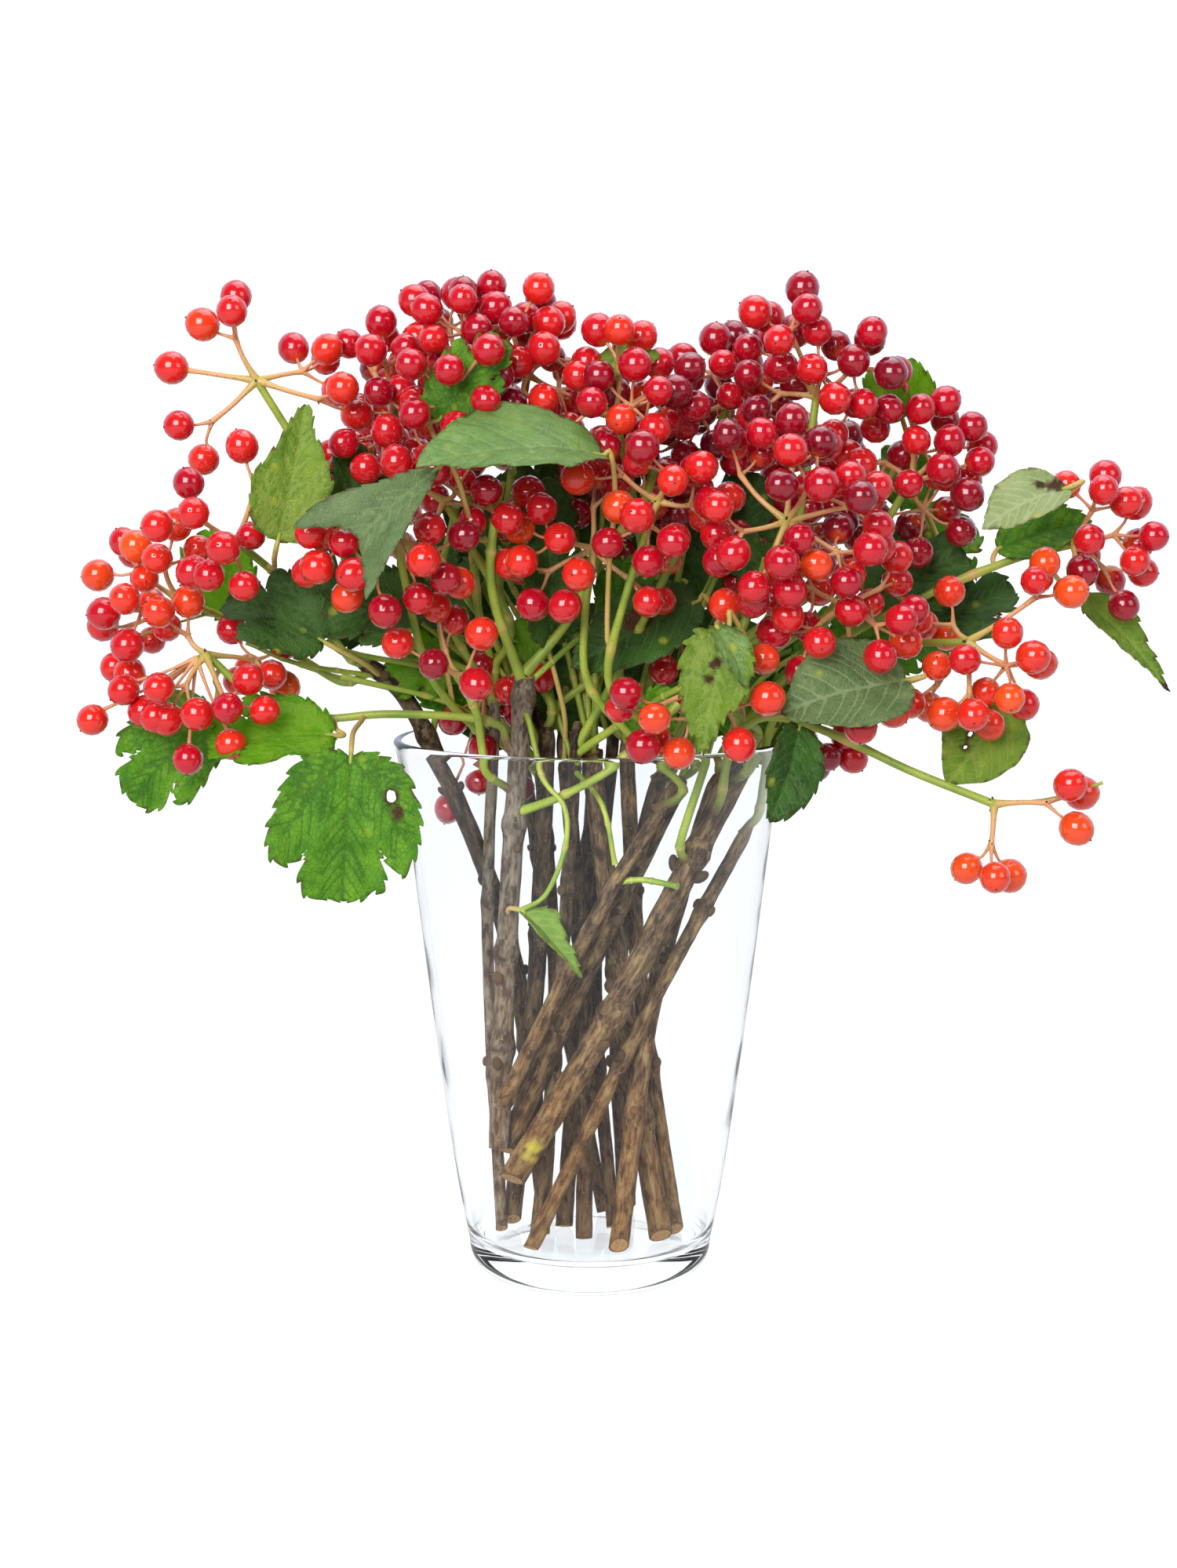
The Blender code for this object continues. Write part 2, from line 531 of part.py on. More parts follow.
class SprayBuilder:
    """Grows one spray: its shoot first, and its rays, pedicels and berries afterwards."""

    def __init__(self, spray, canes, space):
        self.spray = spray
        self.space = space
        self.seed = sum(ord(letter) for letter in spray.name)
        line, radii = canes[spray.cane]
        start, self.heading = seat_on(line, radii, spray.along, Vector(spray.bends[0]), SHOOT_RADIUS)
        lines = (shoot_line(start, self.heading, spray.bends, spray.hub, nudge) for nudge in nudges(4.0, 5))
        self.line = space.roomiest(lines, SHOOT_RADIUS, spray.name, spray.cane, 3)
        space.take_line(self.line, SHOOT_RADIUS, spray.name)
        space.take(self.line[-1], self.line[-1], HUB_RADIUS, spray.name)

    def grow(self, look):
        """Mesh the shoot, its hub and every ray that finds room."""
        hub = self.line[-1]
        mesh = bmesh.new()
        inward = (self.line[-2] - hub).normalized()
        inlet_depth = math.sqrt(HUB_RADIUS ** 2 - SHOOT_RADIUS ** 2)
        radii = [SHOOT_RADIUS] * (len(self.line) - 1)
        inlet = grow_tube(mesh, self.line[:-1], radii, SHOOT_SIDES, heading=self.heading)
        x_axis = inlet[0].co - self.line[-2]
        x_axis = (x_axis - inward * x_axis.dot(inward)).normalized()
        axes = (x_axis, (-inward).cross(x_axis))
        last = ring(mesh, hub + inward * inlet_depth, axes, SHOOT_RADIUS, SHOOT_SIDES)
        bridge(mesh, inlet, last)
        used = [inward]
        outlets = []
        for index, (x, y, z, berries) in enumerate(self.spray.rays):
            grown = self.find_ray(hub, Vector((x, y, z)), berries, index, used)
            if grown:
                used.append(grown["out"])
                outlets.append(self.grow_ray(mesh, hub, grown))
        grow_joint(mesh, hub, HUB_RADIUS, last, outlets)
        add_piece(self.spray.name, mesh, look)

    def find_ray(self, hub, offset, berries, index, used):
        """The first nudged ray whose stalk and berries find room, with its berries' places."""
        name = self.spray.name
        for nudge in nudges(2.0, 4):
            tip = hub + offset + nudge
            out = (tip - hub).normalized()
            if any(out.angle(other) < math.radians(RAY_APART) for other in used):
                continue
            root = hub + out * math.sqrt(HUB_RADIUS ** 2 - RAY_RADIUS ** 2)
            if berries == 1:
                if self.space.room(tip, tip, BERRY_RADIUS) < CLEARANCE:
                    continue
                if self.space.room(root + out, tip - out * BERRY_RADIUS, RAY_RADIUS, (name,)) < CLEARANCE:
                    continue
                self.space.take(root, tip, RAY_RADIUS, name)
                self.space.take(tip, tip, BERRY_RADIUS, name)
                return {"out": out, "tip": tip, "berries": []}
            if self.space.room(root + out, tip, RAY_RADIUS, (name,)) < CLEARANCE:
                continue
            if self.space.room(tip, tip, FORK_RADIUS) < CLEARANCE:
                continue
            places = self.find_berries(tip, out, berries, index)
            if len(places) >= min(berries, 2):
                self.space.take(root, tip, RAY_RADIUS, name)
                self.space.take(tip, tip, FORK_RADIUS, name)
                return {"out": out, "tip": tip, "berries": places}
            for _ in places:
                self.drop_last(2)
        return None

    def drop_last(self, count):
        """Free the last capsules taken."""
        self.space.starts = self.space.starts[:-count]
        self.space.ends = self.space.ends[:-count]
        self.space.radii = self.space.radii[:-count]
        del self.space.owners[-count:]

    def find_berries(self, fork, out, count, index):
        """Places round a fork for its berries, each clear of everything taken."""
        name = self.spray.name
        places = []
        lean = math.radians(FORK_LEANS[count])
        for number in range(count):
            for attempt in range(BERRY_TRIES):
                around = (number + 0.13 * (attempt % 6)) / count
                spin = self.seed * BERRY_TURN + index * RAY_TURN + around * 2 * math.pi
                stagger = BERRY_STAGGER * ((self.seed + number + index) % 3)
                distance = BERRY_DISTANCE * (1.0 + 0.16 * (attempt // 6)) + stagger
                radius = BERRY_RADIUS + BERRY_SPREAD * (((self.seed + 2 * index + number) % 4) / 2.0 - 1.0)
                way = turned_about(out, lean * (1.0 + 0.1 * (attempt % 3)), spin)
                centre = fork + way * distance
                if any(way.angle(other[2]) < math.radians(BERRY_APART) for other in places):
                    continue
                start = fork + way * (FORK_RADIUS + 1.0)
                if self.space.room(centre, centre, radius) < CLEARANCE:
                    continue
                if self.space.room(start, centre, PEDICEL_RADIUS) < CLEARANCE / 2:
                    continue
                self.space.take(start, centre, PEDICEL_RADIUS, name)
                self.space.take(centre, centre, radius, name)
                places.append((centre, radius, way))
                break
        return places

    def grow_ray(self, mesh, hub, grown):
        """Mesh one ray with its berries. Returns the ring by which it joins the hub."""
        out, tip = grown["out"], grown["tip"]
        root = hub + out * math.sqrt(HUB_RADIUS ** 2 - RAY_RADIUS ** 2)
        first = ring(mesh, root, side_axes(out), RAY_RADIUS, 3)
        if not grown["berries"]:
            end = tip - out * (NEAR_RING[0] * BERRY_RADIUS + PEDICEL_NECK)
            radii = [RAY_RADIUS, (RAY_RADIUS + PEDICEL_RADIUS) / 2, PEDICEL_RADIUS]
            last = grow_tube(mesh, [root, root.lerp(end, 0.5), end], radii, 3, first)
            grow_berry(mesh, tip, BERRY_RADIUS, -out, last)
            return first
        depth = math.sqrt(FORK_RADIUS ** 2 - RAY_RADIUS ** 2)
        inlet = grow_tube(mesh, [root, tip - out * depth], [RAY_RADIUS] * 2, 3, first)
        outlets = []
        for centre, radius, way in grown["berries"]:
            start = tip + way * math.sqrt(FORK_RADIUS ** 2 - PEDICEL_RADIUS ** 2)
            begin = ring(mesh, start, side_axes(way), PEDICEL_RADIUS, 3)
            end = centre - way * (NEAR_RING[0] * radius + PEDICEL_NECK)
            last = grow_tube(mesh, [start, end], [PEDICEL_RADIUS] * 2, 3, begin)
            grow_berry(mesh, centre, radius, -way, last)
            outlets.append(begin)
        grow_joint(mesh, tip, FORK_RADIUS, inlet, outlets)
        return first


def leaf_point(leaf, along, across):
    """A point of a blade's middle surface and its normal, from shares of its length and half width."""
    base, tip = Vector(leaf.base), Vector(leaf.tip)
    chord = tip - base
    ahead = chord.normalized()
    side = ahead.cross(Vector(leaf.face)).normalized()
    face = side.cross(ahead)
    droop = math.radians(leaf.droop)
    length = chord.length * (droop / 2) / math.sin(droop / 2)
    turn = droop * (0.5 - along)
    forward = length / droop * (math.sin(droop / 2) - math.sin(turn))
    rise = length / droop * (math.cos(turn) - math.cos(droop / 2))
    heading = ahead * math.cos(turn) + face * math.sin(turn)
    up = face * math.cos(turn) - ahead * math.sin(turn)
    roll = Quaternion(heading, math.radians(leaf.twist) * (along - 0.5))
    lift = math.radians(leaf.fold)
    half = leaf.width / 2
    outward = roll @ (side * math.copysign(math.cos(lift), across) + up * math.sin(lift))
    return base + ahead * forward + face * rise + outward * abs(across) * half, roll @ up


def leaf_widths(leaf):
    """The half-width shares at the blade's stations."""
    return LOBED_WIDTHS if leaf.lobed else OVAL_WIDTHS


def reserve_leaf(leaf, space):
    """Mark a blade as taken, as capsules across it every few millimetres."""
    widths = leaf_widths(leaf)
    length = (Vector(leaf.tip) - Vector(leaf.base)).length
    count = int(length / 3.5)
    for step in range(count + 1):
        along = step / count
        width = np.interp(along, LEAF_STATIONS, widths)
        middle, _ = leaf_point(leaf, along, 0.0)
        for hand in (-1, 1):
            edge, _ = leaf_point(leaf, along, hand * width)
            space.take(middle, edge, LEAF_ROOM, leaf.name)


def petiole_line(leaf, carriers, space):
    """A petiole's line from its blade to the carrier, with the bulge that gives it most room."""
    line, radii = carriers[leaf.carrier]
    base = Vector(leaf.base)
    start, direction = seat_on(line, radii, leaf.along, base, PETIOLE_RADIUS)
    after, _ = leaf_point(leaf, 0.08, 0.0)
    before = base - (after - base).normalized() * 5.0
    halfway = (start + direction * 3.0).lerp(before, 0.5)
    lines = (smooth_line([start, halfway + nudge, before, base], 4) for nudge in nudges(2.5, 6))
    stalk = space.roomiest(lines, PETIOLE_RADIUS, leaf.name, leaf.carrier, 2)
    space.take_line(stalk, PETIOLE_RADIUS, leaf.name)
    return stalk, direction


def make_leaf(leaf, line, heading, look):
    """One leaf: a thin closed blade of two skins, with its petiole grown from the base's edge."""
    mesh = bmesh.new()
    widths = leaf_widths(leaf)
    half = LEAF_THICKNESS / 2
    skins = []
    for hand in (1, -1):
        rows = []
        for along, width in zip(LEAF_STATIONS, widths):
            row = []
            for across in (-width, 0.0, width):
                point, normal = leaf_point(leaf, along, across)
                row.append(mesh.verts.new(point + normal * half * hand))
            rows.append(row)
        skins.append(rows)
        for near, far in zip(rows[:-1], rows[1:]):
            for k in range(2):
                mesh.faces.new((near[k], near[k + 1], far[k + 1], far[k]))
    top, bottom = skins
    for upper_near, upper_far, lower_near, lower_far in zip(top[:-1], top[1:], bottom[:-1], bottom[1:]):
        for k in (0, 2):
            mesh.faces.new((upper_near[k], upper_far[k], lower_far[k], lower_near[k]))
    for k in range(2):
        mesh.faces.new((top[-1][k], top[-1][k + 1], bottom[-1][k + 1], bottom[-1][k]))
    rim = [*top[0], *bottom[0][::-1]]
    back = (line[-2] - line[-1]).normalized()
    joint = line[-1] + back * NECK_LENGTH
    x_axis = rim[0].co - rim[2].co
    x_axis = (x_axis - back * x_axis.dot(back)).normalized()
    y_axis = rim[0].co - rim[5].co
    y_axis = (y_axis - back * y_axis.dot(back) - x_axis * y_axis.dot(x_axis)).normalized()
    slant = Quaternion(x_axis.cross(y_axis), math.pi / 6)
    first = ring(mesh, joint, (slant @ x_axis, slant @ y_axis), PETIOLE_RADIUS, 6)
    bridge(mesh, rim, first)
    stalk = [joint, *line[-2::-1]]
    end = grow_tube_back(mesh, stalk, first, -heading)
    mesh.faces.new(end)
    return add_piece(leaf.name, mesh, look)


def grow_tube_back(mesh, line, first, last_heading):
    """A petiole's tube from the ring at the blade back to its free end."""
    last = first
    direction = (line[1] - line[0]).normalized()
    spokes = [vert.co - line[0] for vert in first]
    for k in range(1, len(line)):
        ahead = (line[k + 1] - line[k - 1]).normalized() if k + 1 < len(line) else last_heading
        turn = direction.rotation_difference(ahead)
        spokes = [turn @ spoke for spoke in spokes]
        direction = ahead
        grown = [mesh.verts.new(line[k] + spoke) for spoke in spokes]
        bridge(mesh, last, grown)
        last = grown
    return last


def main():
    """Clear the scene, then build the vase, canes, shoots, leaves and berries in that order."""
    for leftover in list(bpy.data.objects):
        bpy.data.objects.remove(leftover)
    space = Space()
    make_vase()
    canes = make_canes(space)
    for leaf in LEAVES:
        reserve_leaf(leaf, space)
    builders = [SprayBuilder(spray, canes, space) for spray in SPRAYS]
    carriers = dict(canes)
    for builder in builders:
        carriers[builder.spray.name] = (builder.line, [SHOOT_RADIUS] * len(builder.line))
    leaf_look = material("leaf", LEAF_GREEN, 0.5)
    petioles = {leaf.name: petiole_line(leaf, carriers, space) for leaf in LEAVES}
    green = material("shoot", SHOOT_GREEN, 0.5)
    for builder in builders:
        builder.grow(green)
    for leaf in LEAVES:
        make_leaf(leaf, *petioles[leaf.name], leaf_look)


main()
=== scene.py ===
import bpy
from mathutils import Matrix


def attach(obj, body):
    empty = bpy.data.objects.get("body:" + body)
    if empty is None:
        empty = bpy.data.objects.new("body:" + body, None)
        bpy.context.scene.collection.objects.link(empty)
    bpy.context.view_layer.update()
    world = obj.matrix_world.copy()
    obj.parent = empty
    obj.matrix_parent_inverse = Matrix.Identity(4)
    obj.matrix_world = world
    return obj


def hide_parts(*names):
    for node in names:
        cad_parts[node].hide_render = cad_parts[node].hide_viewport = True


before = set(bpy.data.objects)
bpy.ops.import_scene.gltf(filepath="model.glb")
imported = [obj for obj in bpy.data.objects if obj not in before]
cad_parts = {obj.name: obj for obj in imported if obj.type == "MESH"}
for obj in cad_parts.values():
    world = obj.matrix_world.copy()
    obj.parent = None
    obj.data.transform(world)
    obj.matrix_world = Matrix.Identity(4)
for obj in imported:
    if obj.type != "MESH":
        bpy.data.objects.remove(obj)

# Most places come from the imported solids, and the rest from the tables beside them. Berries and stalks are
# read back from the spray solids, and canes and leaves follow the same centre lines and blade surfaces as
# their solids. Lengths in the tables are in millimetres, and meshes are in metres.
"""Cut guelder rose branches with red berries in a clear tapered glass vase.

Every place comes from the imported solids. Berries and stalks are read back from the spray solids,
and canes and leaves follow the same centre lines and blade surfaces as their solids. Lengths in
the tables are in millimetres, and meshes are in metres.
"""

import logging
import random
from collections.abc import Callable, Iterable, Sequence
from dataclasses import dataclass, field
from enum import Enum
from functools import partial
from math import copysign, cos, exp, pi, radians, sin, sqrt, tan

import bmesh
import bpy
import numpy as np
from bmesh.types import BMFace, BMVert, BMesh
from bpy.types import Material, Mesh, Node, NodeSocket, NodeTree, Object
from mathutils import Quaternion, Vector, noise
from mathutils.geometry import delaunay_2d_cdt

LOG = logging.getLogger("berry_vase")
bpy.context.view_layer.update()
MM = 0.001
WELD = 2e-6
NODE_PREFIXES = ("ShaderNode", "GeometryNode", "FunctionNode", "")

# Sizes that the spray and leaf solids were made with, in millimetres.
HUB_RADIUS = 4.2
FORK_RADIUS = 2.6
RAY_RADIUS = 1.25
PEDICEL_RADIUS = 0.95
LONE_RING_EDGE = 1.905
LEAF_THICKNESS = 0.9
LEAF_STATIONS = (0.0, 0.14, 0.3, 0.45, 0.62, 0.8, 1.0)
LOBED_WIDTHS = (0.34, 0.86, 1.0, 0.66, 0.72, 0.46, 0.06)
OVAL_WIDTHS = (0.22, 0.62, 0.92, 1.0, 0.86, 0.52, 0.06)


def linear(code: str) -> tuple[float, float, float, float]:
    """Turn an sRGB hex colour to linear RGBA.

    Args:
        code: a colour such as "#A0B0C0".

    Returns:
        Linear red, green and blue with an alpha of 1.
    """
    shares = [int(code[k:k + 2], 16) / 255 for k in (1, 3, 5)]
    red, green, blue = (s / 12.92 if s <= 0.04045 else ((s + 0.055) / 1.055) ** 2.4 for s in shares)
    return red, green, blue, 1.0


def add_node(tree: NodeTree, kind: str, sockets: dict | None = None,
             stops: Sequence[tuple[float, str]] = (), **settings: object) -> Node:
    """Add a node with its settings, values and links.

    Args:
        tree: the node tree that takes the node.
        kind: the node's type name, without its prefix.
        sockets: input name or number to a value, a hex colour, an output, a node for its first live
            output, or a list of nodes to join.
        stops: a colour ramp's places and hex colours.
        **settings: properties set before the sockets.

    Returns:
        The new node.
    """
    node = tree.nodes.new(next(p + kind for p in NODE_PREFIXES if hasattr(bpy.types, p + kind)))
    for name, value in settings.items():
        setattr(node, name, value)
    if stops:
        elements = node.color_ramp.elements
        for _ in stops[len(elements):]:
            elements.new(1.0)
        for element, (place, code) in zip(elements, stops):
            element.position, element.color = place, linear(code)
    for key, value in (sockets or {}).items():
        for source in value if isinstance(value, list) else [value]:
            if isinstance(source, Node):
                source = next(output for output in source.outputs if output.enabled)
            if isinstance(source, NodeSocket):
                tree.links.new(source, node.inputs[key])
            else:
                is_colour = isinstance(source, str) and source.startswith("#")
                node.inputs[key].default_value = linear(source) if is_colour else source
    return node


def to_data(mesh: BMesh, name: str, smooth: bool = True) -> Mesh:
    """Turn a bmesh to mesh data with its faces out, and free it.

    Args:
        mesh: the bmesh, in metres.
        name: the data's name.
        smooth: whether to shade it smooth.

    Returns:
        The mesh data.
    """
    bmesh.ops.recalc_face_normals(mesh, faces=mesh.faces)
    data = bpy.data.meshes.new(name)
    mesh.to_mesh(data)
    mesh.free()
    if smooth:
        data.shade_smooth()
    return data


def link_mesh(name: str, data: Mesh, *looks: Material) -> Object:
    """Link a mesh to the scene as a named object.

    Args:
        name: the object's name.
        data: its mesh, in metres.
        *looks: its materials in slot order.

    Returns:
        The new object.
    """
    for look in looks:
        data.materials.append(look)
    piece = bpy.data.objects.new(name, data)
    bpy.context.scene.collection.objects.link(piece)
    return piece


def settle(piece: Object) -> Object:
    """Turn a piece with modifiers into a plain mesh of the same name.

    Args:
        piece: the object to evaluate.

    Returns:
        The same object with its evaluated mesh and no modifiers.
    """
    evaluated = piece.evaluated_get(bpy.context.evaluated_depsgraph_get())
    data = bpy.data.meshes.new_from_object(evaluated)
    piece.modifiers.clear()
    piece.data = data
    return piece


def hand_in(piece: Object, node: str = "") -> None:
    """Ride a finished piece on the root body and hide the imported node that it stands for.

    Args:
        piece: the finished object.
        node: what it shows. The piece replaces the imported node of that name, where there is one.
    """
    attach(piece, "root")
    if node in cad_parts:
        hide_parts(node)
    LOG.info("%s: %d faces", piece.name, len(piece.data.polygons))


def smooth_line(points: Sequence[Vector], steps: int) -> list[Vector]:
    """Points on a Catmull-Rom curve through the given points.

    Args:
        points: points that the curve passes through.
        steps: the number of spans in the result.

    Returns:
        Evenly numbered points along the curve.
    """
    knots = [Vector(p) for p in points]
    knots = [2 * knots[0] - knots[1], *knots, 2 * knots[-1] - knots[-2]]
    spans = len(knots) - 3
    line = []
    for step in range(steps + 1):
        place = min(step / steps * spans, spans - 1e-6)
        span = int(place)
        t = place - span
        a, b, c, d = knots[span:span + 4]
        line.append(0.5 * (2 * b + (c - a) * t + (2 * a - 5 * b + 4 * c - d) * t ** 2
                           + (3 * b - 3 * c + d - a) * t ** 3))
    return line


def length_of(line: Sequence[Vector]) -> float:
    """The length of a line of points."""
    return sum((b - a).length for a, b in zip(line[:-1], line[1:]))


def any_way(draw: random.Random, lift: float = 0.0) -> Vector:
    """A random direction, which leans up by a lift."""
    return Vector((draw.gauss(0, 1), draw.gauss(0, 1), draw.gauss(lift, 1))).normalized()


def sway(draw: random.Random, top: float, reach: float) -> Vector:
    """A random offset, mostly down, up to a reach in millimetres."""
    return Vector((draw.uniform(-1, 1), draw.uniform(-1, 1), draw.uniform(-1, top))) * reach


def name_seed(name: str) -> int:
    """A whole number that each name keeps on every run."""
    return sum(ord(letter) for letter in name)


def bridge(mesh: BMesh, lower: list, upper: list) -> list[BMFace]:
    """Join two rings of vertices with faces.

    Args:
        mesh: the mesh that they belong to.
        lower: the first ring, or a single point.
        upper: the second ring, or a single point.

    Returns:
        The new faces in order round the rings.
    """
    count = max(len(lower), len(upper))
    faces = []
    for k in range(count):
        after = (k + 1) % count
        faces.append(mesh.faces.new(dict.fromkeys((lower[k % len(lower)], lower[after % len(lower)],
                                                   upper[after % len(upper)], upper[k % len(upper)]))))
    return faces


def centre_of(verts: Iterable[BMVert]) -> Vector:
    """The mean place of some vertices, always summed in the mesh's own order."""
    verts = sorted(verts, key=lambda vert: vert.index)
    return sum((v.co for v in verts), Vector()) / len(verts)


def beyond(ring: set, seen: set) -> set:
    """The vertices one edge away from a ring, without those already seen."""
    return {edge.other_vert(vert) for vert in ring for edge in vert.link_edges} - ring - seen


def walk(ring: set, seen: set) -> list[Vector]:
    """Follow a mesh outwards, ring by ring.

    Args:
        ring: the vertices to start from.
        seen: vertices that are not entered.

    Returns:
        The middle of each ring passed.
    """
    middles, seen = [], seen | ring
    while ring := beyond(ring, seen):
        middles.append(centre_of(ring))
        seen |= ring
    return middles


def welded(node: str) -> BMesh:
    """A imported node's mesh in millimetres with its loose triangles merged.

    Args:
        node: the node's name.

    Returns:
        A new bmesh. The node itself is not changed.
    """
    mesh = bmesh.new()
    mesh.from_mesh(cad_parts[node].data)
    bmesh.ops.remove_doubles(mesh, verts=mesh.verts, dist=WELD)
    bmesh.ops.scale(mesh, vec=(1 / MM,) * 3, verts=mesh.verts)
    mesh.verts.index_update()
    return mesh


# ---- finishes


@dataclass(frozen=True)
class Finish:
    """A surface whose look is its own node tree."""

    name: str

    def build(self) -> Material:
        """Make the material.

        Returns:
            The material with its shader on the output.
        """
        made = bpy.data.materials.new(self.name)
        made.use_nodes = True
        made.node_tree.nodes.clear()
        add = partial(add_node, made.node_tree)
        add("OutputMaterial", {0: self.surface(add)})
        return made


@dataclass(frozen=True)
class BerrySkin(Finish):
    """Ripe guelder rose drupe: thin waxy skin over juicy flesh, so it is glossy and glows a little."""

    name: str = "guelder_rose_berry_skin"
    unripe: str = "#F25517"
    turning: str = "#E0211B"
    ripe: str = "#C20721"
    deep: str = "#7C041C"
    calyx: str = "#3A150E"

    def surface(self, add: Callable[..., Node]) -> Node:
        """Lay out the skin. It reads each berry's ripeness and its height from stalk to tip.

        Args:
            add: adds a node to the material's tree.

        Returns:
            The shader.
        """
        place = add("TexCoord").outputs["Object"]
        ripe, tip = (add("Attribute", attribute_name=name).outputs["Fac"] for name in ("ripe", "tip"))
        # Blush patches and slight dents about 4 mm across, as sun-ripened skin has.
        patches = add("TexNoise", {"Vector": place, "Scale": 230.0, "Detail": 2.0})
        blush = add("Math", {0: patches, 1: 0.2, 2: -0.1}, operation="MULTIPLY_ADD")
        shade = add("Math", {0: ripe, 1: blush}, operation="ADD")
        colour = add("ValToRGB", {"Fac": shade},
                     ((0.0, self.unripe), (0.35, self.turning), (0.68, self.ripe), (1.0, self.deep)))
        # The skin is more orange round the stalk, and the dry calyx scar at the tip is dark brown and dull.
        collar = add("MapRange", {"Value": tip, "From Min": -0.72, "From Max": -1.0, "To Max": 0.55},
                     interpolation_type="SMOOTHSTEP")
        scar = add("MapRange", {"Value": tip, "From Min": 1.0, "From Max": 1.08})
        for share, tone in ((collar, self.unripe), (scar, self.calyx)):
            colour = add("Mix", {0: share, 6: colour, 7: tone}, data_type="RGBA")
        dull = add("Math", {0: scar, 1: 0.5, 2: 0.2}, operation="MULTIPLY_ADD")
        bump = add("Bump", {"Strength": 0.1, "Distance": 0.0005, "Height": patches})
        return add("BsdfPrincipled", {"Base Color": colour, "Roughness": dull, "IOR": 1.45,
                                      "Specular IOR Level": 0.4, "Coat Weight": 0.8, "Coat Roughness": 0.05,
                                      "Subsurface Weight": 0.12, "Subsurface Radius": (1.0, 0.25, 0.12),
                                      "Subsurface Scale": 0.0016, "Normal": bump})


@dataclass(frozen=True)
class StalkSkin(Finish):
    """Green shoot skin: soft, slightly waxy, yellow-green, turning pink and tan on the thin stalks."""

    name: str = "green_shoot_skin"
    shoot: str = "#A3B03E"
    shaded: str = "#78922E"
    woody: str = "#6B5234"
    ray: str = "#D8A26C"
    pedicel: str = "#CF7C64"
    speck: str = "#6B5A2C"

    def surface(self, add: Callable[..., Node]) -> Node:
        """Lay out the skin. It reads how far out on the umbel each stalk lies.

        Args:
            add: adds a node to the material's tree.

        Returns:
            The shader.
        """
        place = add("TexCoord").outputs["Object"]
        blush, foot = (add("Attribute", attribute_name=name).outputs["Fac"] for name in ("blush", "woody"))
        # Yellow-green stretches 15 mm long alternate with a darker, shaded copy of that green: painted shade,
        # laid at random along the shoot.
        drift = add("TexNoise", {"Vector": place, "Scale": 70.0, "Detail": 3.0})
        green = add("ValToRGB", {"Fac": drift}, ((0.35, self.shaded), (0.62, self.shoot)))
        swing = add("Math", {0: drift, 1: 0.5, 2: -0.25}, operation="MULTIPLY_ADD")
        warm = add("Math", {0: blush, 1: swing}, operation="ADD", use_clamp=True)
        stalk = add("ValToRGB", {"Fac": warm}, ((0.0, self.shoot), (0.55, self.ray), (1.0, self.pedicel)))
        mask = add("MapRange", {"Value": blush, "From Min": 0.05, "From Max": 0.3})
        # Lenticel specks, 0.7 mm across.
        specks = add("TexVoronoi", {"Vector": place, "Scale": 620.0})
        dots = add("MapRange", {"Value": specks, "From Min": 0.12, "From Max": 0.2, "To Min": 0.55,
                                "To Max": 0.0})
        # The foot turns to bark.
        colour = green
        for share, tone in ((mask, stalk), (foot, self.woody), (dots, self.speck)):
            colour = add("Mix", {0: share, 6: colour, 7: tone}, data_type="RGBA")
        bump = add("Bump", {"Strength": 0.35, "Distance": 0.0003, "Height": drift})
        return add("BsdfPrincipled", {
            "Base Color": colour, "Roughness": 0.45, "Subsurface Weight": 0.1, "Normal": bump,
            "Subsurface Radius": (0.5, 0.6, 0.2), "Subsurface Scale": 0.001})


